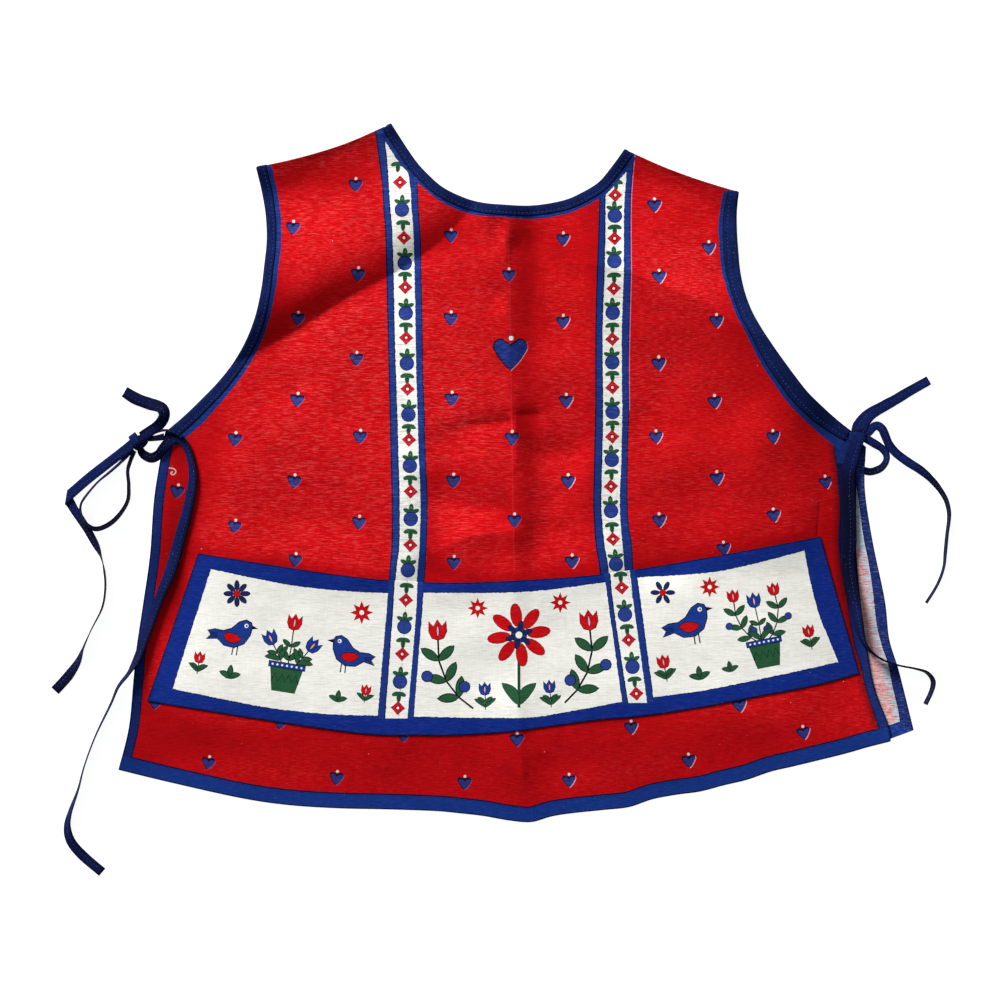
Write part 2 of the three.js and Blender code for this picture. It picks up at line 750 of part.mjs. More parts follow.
// ---- ties -------------------------------------------------------------------------

// Top of whatever lies under a point, taken over a small reach so that a tape clears
// the edges that it crosses.
const CLEAR_REACH = 9;
const COMPASS = [0, 1, 2, 3, 4, 5, 6, 7].map((i) => (i * Math.PI) / 4);

function topUnder(x, y) {
  if (isInside(x, y, frontOutline)) {
    return frontTop(x, y) + closeTo(x, y, boundEdges) * OUT + SEAM;
  }
  if (isInside(x, y, backOutline)) return backTop(x, y) + CLOTH + SEAM;
  return 0;
}

function clearHeight(x, y) {
  const around = COMPASS.map((angle) =>
    topUnder(x + CLEAR_REACH * Math.cos(angle), y + CLEAR_REACH * Math.sin(angle)),
  );
  return Math.max(topUnder(x, y), ...around);
}

const STEPS_PER_ROW = 2;
const FOLD_BULGE = 0.6; // how far a fold's rounded edge stands out
const FOLD_MARGIN = 1; // between a fold and the nearest section of either leg
const STRAIGHT_BACK = 0.1; // legs whose directions add up to less than this are opposite
const UP = new THREE.Vector3(0, 0, 1);

// The value of a table's column between two of its rows.
function columnAt(rows, name, fallback, place) {
  const i = Math.min(rows.length - 2, Math.floor(place));
  const value = (row) => row[name] ?? fallback;
  return THREE.MathUtils.lerp(value(rows[i]), value(rows[i + 1]), place - i);
}

// The tape's section at a point: its middle, and its width and thickness directions.
function sectionAt(rows, place, side) {
  const curve = new THREE.SplineCurve(rows.map((row) => new THREE.Vector2(row.x, row.y)));
  const t = place / (rows.length - 1);
  const point = curve.getPoint(t);
  const along = curve.getTangent(t);
  const turn = THREE.MathUtils.degToRad(columnAt(rows, "turn", 0, place));
  const width = columnAt(rows, "wide", TIE_WIDTH, place);
  const lift = columnAt(rows, "lift", 0, place);
  const face = UP.clone().multiplyScalar(side);
  const across = face.clone().cross(new THREE.Vector3(along.x, along.y, 0));
  const half = (Math.cos(turn) * TIE + Math.sin(turn) * width) / 2;
  const below = clearHeight(point.x, point.y) * (1 - columnAt(rows, "floor", 0, place));
  return {
    middle: new THREE.Vector3(point.x, point.y, below + lift + half),
    along: new THREE.Vector3(along.x, along.y, 0),
    across: across.clone().multiplyScalar(Math.cos(turn)).addScaledVector(face, Math.sin(turn)),
    face: face.clone().multiplyScalar(Math.cos(turn)).addScaledVector(across, -Math.sin(turn)),
    width,
  };
}

// The three sections of a flat fold between two stretches: the upper leg, the rounded
// edge and the lower leg. The tape is mirrored in the fold's line.
function foldSections(last, next, side) {
  const sum = last.along.clone().add(next.along);
  const line = sum.length() > STRAIGHT_BACK ? sum.normalize() : last.across.clone();
  if (line.dot(last.across) < 0) line.negate();
  const out = last.along.clone().addScaledVector(line, -last.along.dot(line)).normalize();
  const width = last.width / last.along.clone().cross(line).length();
  const downwards = Math.sign(last.middle.z - next.middle.z) * side;
  const edgeMiddle = last.middle.clone().addScaledVector(out, FOLD_BULGE);
  edgeMiddle.z = (last.middle.z + next.middle.z) / 2;
  const face = UP.clone().multiplyScalar(side);
  const across = line;
  return [
    { middle: last.middle, across, face, width },
    { middle: edgeMiddle, across, face: out.multiplyScalar(downwards), width },
    { middle: next.middle, across, face: face.clone().negate(), width },
  ];
}

// How far the fold's slanting line reaches along the tape.
function foldReach(fold, along) {
  const slant = Math.abs(fold[0].across.dot(along));
  return (slant * fold[0].width) / 2 + FOLD_MARGIN;
}

function tapeSections(rows) {
  const breaks = rows.flatMap((row, i) => (row.fold ? [i] : []));
  const ends = [0, ...breaks, rows.length - 1];
  const sections = [];
  let side = 1;
  let before = null;
  for (let k = 0; k + 1 < ends.length; k += 1) {
    const run = rows.slice(ends[k], ends[k + 1] + 1);
    if (k > 0) run[0] = { ...run[0], lift: run[1].lift };
    const steps = STEPS_PER_ROW * (run.length - 1);
    let stretch = [];
    for (let i = 0; i <= steps; i += 1) {
      stretch.push(sectionAt(run, i / STEPS_PER_ROW, side));
    }
    if (before) {
      const fold = foldSections(before, stretch[0], -side);
      const at = before.middle;
      const clear = (section) => {
        const gap = Math.hypot(section.middle.x - at.x, section.middle.y - at.y);
        return gap > foldReach(fold, before.along);
      };
      while (!clear(sections.at(-1))) sections.pop();
      stretch = stretch.filter(clear);
      sections.push(...fold);
    }
    before = k + 2 < ends.length ? sectionAt(run, run.length - 1, side) : null;
    sections.push(...stretch);
    side = -side;
  }
  return sections;
}

function tape(rows) {
  const corners = [];
  for (const { middle, across, face, width } of tapeSections(rows)) {
    for (const [u, v] of [[1, 1], [-1, 1], [-1, -1], [1, -1]]) {
      const corner = middle.clone().addScaledVector(across, (u * width) / 2);
      corner.addScaledVector(face, (v * TIE) / 2);
      corners.push(corner.x, corner.y, corner.z);
    }
  }
  const count = corners.length / 12;
  const faces = [0, 3, 2, 0, 2, 1];
  for (let i = 0; i + 1 < count; i += 1) {
    for (let k = 0; k < 4; k += 1) {
      const a = 4 * i + k;
      const b = 4 * i + ((k + 1) % 4);
      faces.push(a, b, b + 4, a, b + 4, a + 4);
    }
  }
  const end = 4 * (count - 1);
  faces.push(end, end + 1, end + 2, end, end + 2, end + 3);
  return new wasm.Manifold(
    new wasm.Mesh({
      numProp: 3,
      vertProperties: new Float32Array(corners),
      triVerts: new Uint32Array(faces),
    }),
  );
}

function knot({ x, y, angle, long, wide, high }) {
  const r = KNOT_ROUNDING;
  const a = long / 2 - r;
  const b = wide / 2 - r;
  const shape = new THREE.Shape([
    new THREE.Vector2(a, -b),
    new THREE.Vector2(a, b),
    new THREE.Vector2(-a, b),
    new THREE.Vector2(-a, -b),
  ]);
  const geometry = new THREE.ExtrudeGeometry(shape, {
    depth: high - 2 * r,
    bevelThickness: r,
    bevelSize: r,
    bevelSegments: 2,
  });
  geometry.translate(0, 0, r);
  geometry.rotateZ(THREE.MathUtils.degToRad(angle));
  return solidFromGeometry(geometry.translate(x, y, 0));
}

// ---- the apron --------------------------------------------------------------------

const red = new THREE.MeshStandardMaterial({ color: 0xbe1a1e, roughness: 0.9 });
const rose = new THREE.MeshStandardMaterial({ color: 0xd9a9a4, roughness: 0.92 });
const navy = new THREE.MeshStandardMaterial({ color: 0x0f1f5c, roughness: 0.85 });
const linen = new THREE.MeshStandardMaterial({ color: 0xe4e1d6, roughness: 0.9 });

function meshOf(name, solid, material) {
  const { vertProperties, triVerts } = solid.getMesh();
  const geometry = new THREE.BufferGeometry();
  geometry.setAttribute("position", new THREE.BufferAttribute(vertProperties, 3));
  geometry.setIndex(new THREE.BufferAttribute(triVerts, 1));
  geometry.computeVertexNormals();
  const mesh = new THREE.Mesh(geometry, material);
  mesh.name = name;
  return mesh;
}

function pocketStrip() {
  const top = alongEdge(POCKET_TOP);
  const bottom = alongEdge(POCKET_BOTTOM);
  const lower = raised(frontHeight, CLOTH + SEAM);
  return between([...top, ...bottom], lower, raised(lower, CLOTH));
}

const apron = new THREE.Group();
apron.add(meshOf("back_panel", backPanel(), rose));
apron.add(meshOf("front_panel", frontPanel(), red));
apron.add(meshOf("neck_binding", neckBinding(), navy));
apron.add(meshOf("right_armhole_binding", rightArmholeBinding(), navy));
apron.add(meshOf("left_armhole_binding", leftArmholeBinding(), navy));
apron.add(meshOf("pocket_strip", pocketStrip(), linen));
for (const [name, rows] of Object.entries({ ...LEFT_TIES, ...RIGHT_TIES })) {
  apron.add(meshOf(name, tape(rows), navy));
}
apron.add(meshOf("left_knot", knot(LEFT_KNOT), navy));
apron.add(meshOf("right_knot", knot(RIGHT_KNOT), navy));

export default apron;
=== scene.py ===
import math
import bmesh
import bpy
import numpy as np
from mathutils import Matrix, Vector, noise
from mathutils.geometry import delaunay_2d_cdt


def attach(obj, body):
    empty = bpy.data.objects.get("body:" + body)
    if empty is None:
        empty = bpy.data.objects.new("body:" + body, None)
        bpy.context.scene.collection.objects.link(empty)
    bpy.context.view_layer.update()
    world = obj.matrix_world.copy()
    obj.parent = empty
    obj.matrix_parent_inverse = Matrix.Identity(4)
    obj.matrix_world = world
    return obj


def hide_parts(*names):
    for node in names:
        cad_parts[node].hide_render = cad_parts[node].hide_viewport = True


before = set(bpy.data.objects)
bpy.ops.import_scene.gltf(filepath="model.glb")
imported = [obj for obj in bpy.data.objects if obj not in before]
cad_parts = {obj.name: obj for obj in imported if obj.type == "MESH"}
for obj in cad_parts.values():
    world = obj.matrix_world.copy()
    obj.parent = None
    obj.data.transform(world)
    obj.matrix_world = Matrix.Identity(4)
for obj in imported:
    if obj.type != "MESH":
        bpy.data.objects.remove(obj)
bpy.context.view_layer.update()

MM = 0.001
rng = np.random.default_rng(7)


def ink(red, green, blue):
    """A dye's colour, from 0 to 255 as it shows, as a shader takes it."""
    return tuple(((value / 255 + 0.055) / 1.055) ** 2.4 for value in (red, green, blue))


RED = ink(196, 7, 16)
DEEP_RED = ink(134, 4, 12)
BLUE = ink(23, 55, 138)
SIDE_BLUE = ink(23, 44, 112)
STRIPE_BLUE = ink(22, 50, 122)
BORDER_BLUE = ink(12, 40, 126)
BAND_BLUE = ink(25, 52, 128)
DEEP_BLUE = ink(9, 16, 60)
BLACK = ink(18, 16, 26)
LINEN = ink(238, 238, 232)
WHITE = ink(246, 242, 236)
PINK = ink(232, 160, 178)
GREEN = ink(36, 84, 54)
LEAF_EDGE = ink(16, 38, 30)
LEAF_LIGHT = ink(84, 132, 84)
BERRY = ink(38, 61, 138)
HEART_BLUE = ink(46, 56, 128)
HEART_DARK = ink(18, 14, 58)
BEAD = ink(246, 218, 212)
WRONG_RED = ink(218, 172, 172)
WRONG_BLUE = ink(182, 194, 208)
WRONG_LINEN = ink(226, 222, 212)


# ---- camera, light and floor

CAMERA_HEIGHT = 2.5
LENS = 100
SENSOR = 36
KEY_FROM = (-0.55, 0.83)
KEY_ELEVATION = 21
KEY_STRENGTH = 6.5
KEY_SOFTNESS = 22
FILL = 0.25
KEY_COLOUR = (1.0, 0.985, 0.96)
SKY_COLOUR = (0.94, 0.97, 1.0, 1)

scene = bpy.context.scene


def added(name, data):
    """A new object in the scene."""
    made = bpy.data.objects.new(name, data)
    scene.collection.objects.link(made)
    return made


camera_data = bpy.data.cameras.new("camera")
camera_data.lens = LENS
camera_data.sensor_width = SENSOR
camera = added("camera", camera_data)
camera.location = (0, 0, CAMERA_HEIGHT)
scene.camera = camera
scene.view_settings.view_transform = "Standard"

sun_data = bpy.data.lights.new("key", "SUN")
sun_data.energy = KEY_STRENGTH
sun_data.angle = math.radians(KEY_SOFTNESS)
sun_data.color = KEY_COLOUR
sun = added("key", sun_data)
low = math.cos(math.radians(KEY_ELEVATION))
towards = Vector((KEY_FROM[0], KEY_FROM[1], 0)).normalized() * low
towards.z = math.sin(math.radians(KEY_ELEVATION))
sun.rotation_euler = towards.to_track_quat("Z", "Y").to_euler()

world = bpy.data.worlds.new("studio")
world.use_nodes = True
world.node_tree.nodes["Background"].inputs["Color"].default_value = SKY_COLOUR
world.node_tree.nodes["Background"].inputs["Strength"].default_value = FILL
scene.world = world


# ---- materials

def put(tree, kind, inputs=(), **settings):
    """A new node with its settings, its inputs set to values or joined to sockets."""
    made = tree.nodes.new(kind)
    for name, value in settings.items():
        setattr(made, name, value)
    for name, value in dict(inputs).items():
        socket = made.inputs[name]
        if isinstance(value, bpy.types.Node):
            value = value.outputs[0]
        if isinstance(value, bpy.types.NodeSocket):
            tree.links.new(value, socket)
        else:
            socket.default_value = value
    return made


def fabric(name, roughness=0.9, sheen=0.0, gloss=0.05):
    """A material with its shader, ready for its colour and relief."""
    made = bpy.data.materials.new(name)
    made.use_nodes = True
    shader = made.node_tree.nodes["Principled BSDF"]
    shader.inputs["Roughness"].default_value = roughness
    shader.inputs["Specular IOR Level"].default_value = gloss
    shader.inputs["Sheen Weight"].default_value = sheen
    return made, made.node_tree, shader


def threads(tree, where, scale, detail=2.0, turn=0.0):
    """Noise stretched along the threads, as many to the metre as the scale says."""
    mapped = put(tree, "ShaderNodeMapping", {"Vector": where, "Scale": scale, "Rotation": (0, 0, turn)})
    return put(tree, "ShaderNodeTexNoise", {"Vector": mapped, "Scale": 1.0, "Detail": detail}).outputs["Fac"]


MID = (0.3, 0.7)  # where noise mostly lies


def ranged(tree, value, low, high, out_low, out_high):
    made = put(
        tree, "ShaderNodeMapRange",
        {"Value": value, "From Min": low, "From Max": high, "To Min": out_low, "To Max": out_high}
    )
    return made.outputs["Result"]


def product(tree, a, b):
    return put(tree, "ShaderNodeMath", {0: a, 1: b}, operation="MULTIPLY").outputs[0]


def dimmed(tree, colour, value):
    """A colour times a number."""
    return put(tree, "ShaderNodeVectorMath", {0: colour, "Scale": value}, operation="SCALE").outputs[0]


def blended(tree, share, a, b):
    """From colour a to colour b by a share."""
    return put(tree, "ShaderNodeMix", {0: share, 6: a, 7: b}, data_type="RGBA").outputs[2]


def finish_cloth(tree, shader, colour, relief, depth, strength=0.6):
    tree.links.new(colour, shader.inputs["Base Color"])
    bump = put(tree, "ShaderNodeBump", {"Height": relief, "Distance": depth, "Strength": strength})
    tree.links.new(bump.outputs[0], shader.inputs["Normal"])


# The weave's threads: how many to the metre along x, y and z.
WEFT = (170, 1800, 60)
SLUB = (66, 1500, 20)
WARP = (1100, 120, 60)
CLOUD = (14, 18, 10)
LINT_SCALE = (620, 760, 300)
WEAVE_DEPTH = (0.0003, 0.14)


def printed_cloth(name, contrast, white, rib=1.0, uneven=0.08):
    """Coarse plain weave, printed: slubby crosswise threads, white ones showing through."""
    made, tree, shader = fabric(name)
    where = put(tree, "ShaderNodeTexCoord").outputs["Object"]
    print_and_shade = put(tree, "ShaderNodeAttribute", attribute_name="print_and_shade").outputs["Color"]
    wear_and_painted_light = put(tree, "ShaderNodeAttribute", attribute_name="wear_and_painted_light").outputs["Fac"]
    weft = threads(tree, where, (WEFT[0], WEFT[1] * rib, WEFT[2]))
    slub = threads(tree, where, (SLUB[0], SLUB[1] * rib, SLUB[2]))
    warp = threads(tree, where, WARP)
    cloud = threads(tree, where, CLOUD, 3)
    lint = threads(tree, where, LINT_SCALE, 1)
    light = ranged(tree, weft, *MID, 1 - contrast, 1 + contrast)
    groove = ranged(tree, slub, 0.28, 0.48, 2.5 * contrast, 0.0)
    groove = product(tree, groove, ranged(tree, wear_and_painted_light, 0.5, 1.3, 0.5, 1.0))
    level = put(tree, "ShaderNodeMath", {0: 1.03, 1: groove}, operation="SUBTRACT").outputs[0]
    light = product(tree, light, level)
    light = product(tree, light, ranged(tree, warp, *MID, 1 - uneven, 1 + uneven))
    light = product(tree, light, ranged(tree, cloud, *MID, 1 - 0.9 * uneven, 1 + 0.9 * uneven))
    # painted light and shade: the attribute read above lightens or darkens the colour here, and also sets how
    # many white threads show
    light = product(tree, light, ranged(tree, wear_and_painted_light, -1.0, 2.0, 0.32, 1.34))
    colour = dimmed(tree, print_and_shade, light)
    wear_and_shade = ranged(tree, wear_and_painted_light, 0.0, 2.0, 0.0, 2.0)
    bare = product(tree, product(tree, ranged(tree, weft, 0.52, 0.74, 0.0, 1.0), wear_and_shade), wear_and_shade)
    colour = blended(tree, product(tree, bare, white), colour, (*WHITE, 1))
    speck = ranged(tree, lint, 0.8, 0.84, 0.0, 0.3)
    colour = blended(tree, speck, colour, (*WHITE, 1))
    relief = put(tree, "ShaderNodeMath", {0: weft, 1: slub}, operation="ADD").outputs[0]
    finish_cloth(tree, shader, colour, relief, *WEAVE_DEPTH)
    return made


TAPE_SLANT = (900, 260, 300)
TAPE_CROSS = (300, 1000, 300)
TAPE_CLOUD = (40, 40, 40)
TAPE_LINT = (700, 700, 400)
BIAS = math.radians(42)
LINT_BLUE = ink(150, 165, 205)


def tape_cloth(name, colour, shade_colour):
    """Bias-cut tape: fine slanting threads, with painted shade where its fold number is high."""
    made, tree, shader = fabric(name, 0.85, 0.0, 0.08)
    where = put(tree, "ShaderNodeTexCoord").outputs["Object"]
    slant = threads(tree, where, TAPE_SLANT, 2, BIAS)
    cross = threads(tree, where, TAPE_CROSS, 2, BIAS)
    cloud = threads(tree, where, TAPE_CLOUD, 3)
    lint = threads(tree, where, TAPE_LINT, 1)
    light = ranged(tree, slant, *MID, 0.66, 1.34)
    light = product(tree, light, ranged(tree, cross, *MID, 0.8, 1.2))
    light = product(tree, light, ranged(tree, cloud, *MID, 0.8, 1.2))
    # the fold number is painted shade: it blends the tape towards its darker shade colour
    wear_and_shade = put(tree, "ShaderNodeAttribute", attribute_name="fold").outputs["Fac"]
    dyed = blended(tree, wear_and_shade, (*colour, 1), (*shade_colour, 1))
    dyed = dimmed(tree, dyed, light)
    dyed = blended(tree, ranged(tree, lint, 0.76, 0.8, 0.0, 0.35), dyed, (*LINT_BLUE, 1))
    finish_cloth(tree, shader, dyed, slant, 0.0002)
    return made


def thread_finish(name, colour):
    """Twisted sewing thread."""
    made, tree, shader = fabric(name, 0.7, 0.0, 0.3)
    where = put(tree, "ShaderNodeTexCoord").outputs["Object"]
    twist = threads(tree, where, (2600, 2600, 2600), 1)
    dyed = dimmed(tree, colour, ranged(tree, twist, *MID, 0.75, 1.2))
    finish_cloth(tree, shader, dyed, twist, 0.0001)
    return made


def floor_finish():
    made, tree, shader = fabric("pale_floor", 0.95, 0.0, 0.05)
    where = put(tree, "ShaderNodeTexCoord").outputs["Object"]
    grain = threads(tree, where, (3, 3, 3), 2)
    light = ranged(tree, grain, *MID, 0.985, 1.0)
    tree.links.new(dimmed(tree, (FLOOR_TONE, FLOOR_TONE, FLOOR_TONE), light), shader.inputs["Base Color"])
    shader.inputs["Emission Color"].default_value = (1, 1, 1, 1)
    shader.inputs["Emission Strength"].default_value = FLOOR_GLOW
    return made


FLOOR_TONE = 0.35
FLOOR_GLOW = 0.92
FLOOR_SIDE = 8.0

floor_mesh = bpy.data.meshes.new("floor")
half_side = FLOOR_SIDE / 2
floor_corners = [(x * half_side, y * half_side, 0) for x, y in ((-1, -1), (1, -1), (1, 1), (-1, 1))]
floor_mesh.from_pydata(floor_corners, [], [(0, 1, 2, 3)])
floor_mesh.materials.append(floor_finish())
floor = added("floor", floor_mesh)

CLOTH_FINISH = printed_cloth("printed_cotton", 0.2, 0.036)
LINEN_FINISH = printed_cloth("pocket_cotton", 0.1, 0.02, 1.1, 0.035)
INSIDE_FINISH = printed_cloth("cotton_wrong_side", 0.2, 0.1, 0.6)
# the second colour of each tape is its painted shade
TAPE_FINISH = tape_cloth("bias_tape", ink(14, 30, 82), ink(4, 8, 38))
TIE_FINISH = tape_cloth("tie_tape", ink(14, 29, 84), ink(4, 7, 38))
PALE_THREAD = thread_finish("blue_thread", ink(36, 62, 136))
DARK_THREAD = thread_finish("navy_thread", ink(12, 26, 84))


# ---- sizes

CLOTH = 0.6  # thickness of one layer of the panels
TAPE = 0.55  # one leg of the binding
TIE = 1.0  # a tie, its tape closed on itself
ROOM = 0.15  # between a binding and the cloth that it holds
SIDE_HEM = 8
BOTTOM_HEM = 13
BACK_INSET = 1.5
EDGE_STEP = 3
GRID_STEP = 5
PLAIN_STEP = 11

NECKLINE = [
    (-98, 337), (-78, 306.5), (-66, 292.5), (-52, 280), (-35, 271.5), (-17, 266), (1, 264), (28, 263.5),
    (56, 268), (73, 275), (89, 285), (101, 299), (112, 314)
]
LEFT_ARMHOLE = [
    (-301, 60), (-284, 74.5), (-267.5, 90), (-252, 106), (-238, 124), (-226.5, 143.5), (-218, 165),
    (-213, 188), (-210.5, 210), (-208.5, 232), (-209.5, 254.5), (-213, 276), (-218, 298)
]
RIGHT_ARMHOLE = [
    (213.5, 276), (212, 259.5), (212, 241.5), (213, 223.5), (214.5, 205.5), (218, 187.5), (224, 170),
    (232.5, 154), (242.5, 138.5), (253, 124), (263.5, 110), (275, 96), (288.5, 83.5), (302, 72), (316, 61)
]
LEFT_SHOULDER = [(-218, 298), (-177, 307.5), (-137, 320), (-98, 337)]
RIGHT_SHOULDER = [(112, 314), (145.5, 299), (179.5, 286.5), (213.5, 276)]
RIGHT_SIDE = [
    (316, 61), (320, 27), (320, -40), (324, -90), (331, -140), (337, -170), (350, -205), (351, -217)
]
HEM = [
    (351, -217), (329.5, -222.5), (308.5, -228.5), (265.5, -239), (244, -244), (222, -251.5), (201, -256.5),
    (180, -262), (158, -265), (137, -269), (116, -276), (94, -278.5), (65, -281.5), (46, -284.5),
    (28, -289.5), (8, -288), (-15, -284), (-37, -281.5), (-59, -279.5), (-103, -278), (-147, -277),
    (-192, -274), (-235, -267.5), (-300, -253), (-343, -242.5)
]
LEFT_SIDE = [
    (-343, -242.5), (-333.5, -204), (-329, -157), (-327, -135), (-320.5, -91.5), (-314, -47), (-310, 5),
    (-301, 60)
]
BACK_RIGHT_SIDE = [(329, 47), (328, 10), (335, -37), (346, -90), (350, -125), (359, -155), (372, -207)]
POCKET_TOP = [(-271, -48), (-139, -68), (-60, -74), (20, -72), (119, -63), (288, -33)]
POCKET_BOTTOM = [
    (323, -156), (288, -165.5), (234, -176), (180, -186.3), (126, -194.3), (90, -197.3), (54, -202),
    (15, -207.3), (-30, -210.8), (-70, -211.4), (-137, -208.4), (-317, -181)
]


# ---- lines

def turned(degrees):
    """Cosine and sine."""
    return math.cos(math.radians(degrees)), math.sin(math.radians(degrees))


def between(line, other):
    """The outline between two lines that run the same way."""
    return np.vstack([line, other[::-1]])


def ended(line):
    """An outline closed by its first point."""
    return np.vstack([line, line[:1]])


def run_of(points):
    """How far each point is along the line."""
    return np.concatenate([[0], np.cumsum(np.hypot(*np.diff(points[:, :2], axis=0).T))])


def bell(distance, reach, power=2):
    return np.exp(-((distance / reach) ** power))


def spaced(points, step):
    """The same line with its points evenly spaced, about a step apart."""
    points = np.asarray(points, float)
    far = run_of(points)
    count = max(1, round(far[-1] / step))
    at = np.linspace(0, far[-1], count + 1)
    return np.stack([np.interp(at, far, column) for column in points.T], 1)


SMOOTH_STEPS = 16  # points between two rows before they are evenly spaced


def smooth(rows, step=EDGE_STEP):
    """A line of points on the smooth curve through the rows."""
    rows = np.asarray(rows, float)
    drawn = []
    for i in range(len(rows) - 1):
        before, start = rows[max(i - 1, 0)], rows[i]
        end, after = rows[i + 1], rows[min(i + 2, len(rows) - 1)]
        out, back = (end - before) / 2, (after - start) / 2
        cube, square = 2 * start - 2 * end + out + back, -3 * start + 3 * end - 2 * out - back
        for t in np.arange(SMOOTH_STEPS) / SMOOTH_STEPS:
            drawn.append(cube * t**3 + square * t**2 + out * t + start)
    drawn.append(rows[-1])
    return spaced(drawn, step)


def directions(points):
    along = np.gradient(np.asarray(points, float), axis=0)
    return along / np.linalg.norm(along, axis=1)[:, None]


def moved(points, distance):
    """A line moved to its left, or by a negative distance to its right."""
    along = directions(points)
    return points + distance * np.stack([-along[:, 1], along[:, 0]], 1)


def moved_by(points, distances):
    """A line moved to its right by distances that change evenly from list entry to entry."""
    far = np.interp(np.linspace(0, 1, len(points)), np.linspace(0, 1, len(distances)), distances)
    return moved(points, -far[:, None])


def strip_between(line, inner, outer):
    """The outline of a strip along a line, between two distances to its left."""
    return between(moved(line, inner), moved(line, outer))


def ragged(line, step=1.5, size=0.3):
    """A line as a printed edge: uneven by the width of a thread."""
    line = spaced(line, step)
    wobble = rng.uniform(-size, size, len(line))
    wobble[[0, -1]] = 0
    return moved(line, wobble[:, None])


CHUNK = 4000  # points taken at a time


def nearest(points, line):
    """Distance to a line, signed distance to its left, and the share along it."""
    line = np.asarray(line, float)
    start, run = line[:-1], np.diff(line, axis=0)
    squared = (run**2).sum(1)
    far = np.concatenate([[0], np.cumsum(np.sqrt(squared))])
    found = []
    for i in range(0, len(points), CHUNK):
        rel = points[i:i + CHUNK, None, :] - start[None]
        share = np.clip((rel * run).sum(2) / squared, 0, 1)
        gap = rel - share[..., None] * run
        distance = np.hypot(gap[..., 0], gap[..., 1])
        k = distance.argmin(1)
        rows = np.arange(len(k))
        side = run[k, 0] * gap[rows, k, 1] - run[k, 1] * gap[rows, k, 0]
        along = (far[k] + share[rows, k] * np.sqrt(squared[k])) / far[-1]
        found.append(np.stack([distance[rows, k], np.sign(side) * distance[rows, k], along], 1))
    return np.vstack(found).T


def inside(points, outline):
    """Which points an outline goes round, even where it crosses itself."""
    x, y = points.T
    turns = np.zeros(len(points), int)
    for (ax, ay), (bx, by) in zip(np.roll(outline, 1, 0), outline):
        left = (bx - ax) * (y - ay) > (x - ax) * (by - ay)
        turns += ((ay <= y) & (by > y) & left).astype(int) - ((ay > y) & (by <= y) & ~left).astype(int)
    return turns != 0


def eased(value, low, high):
    t = np.clip((value - low) / (high - low), 0, 1)
    return t * t * (3 - 2 * t)


neck = smooth(NECKLINE)
left_armhole = smooth(LEFT_ARMHOLE)
right_armhole = smooth(RIGHT_ARMHOLE)
right_side = smooth(RIGHT_SIDE)
hem = smooth(HEM)
left_side = smooth(LEFT_SIDE)
left_shoulder = smooth(LEFT_SHOULDER)
right_shoulder = smooth(RIGHT_SHOULDER)
front_edges = [neck, right_shoulder, right_armhole, right_side, hem, left_side, left_armhole, left_shoulder]
front_outline = np.vstack([edge[:-1] for edge in front_edges])[::-1]

back_neck = moved(neck, -BACK_INSET)
back_right_side = smooth(BACK_RIGHT_SIDE)
back_right_armhole = spaced(
    np.vstack([moved(right_armhole, -BACK_INSET)[:-4], back_right_side[:1]]), EDGE_STEP
)
back_left_side = moved(left_side, -BACK_INSET)
back_left_armhole = moved(left_armhole, -BACK_INSET)
back_hem = spaced(
    np.vstack([back_right_side[-1:], moved(hem, -BACK_INSET)[2:-1], back_left_side[:1]]), EDGE_STEP
)
back_edges = [
    back_neck, spaced(np.vstack([back_neck[-1:], right_shoulder[2:-2], back_right_armhole[:1]]), EDGE_STEP),
    back_right_armhole, back_right_side, back_hem, back_left_side, back_left_armhole,
    spaced(np.vstack([back_left_armhole[-1:], left_shoulder[2:-2], back_neck[:1]]), EDGE_STEP)
]
back_outline = np.vstack([edge[:-1] for edge in back_edges])[::-1]


# ---- how the cloth lies

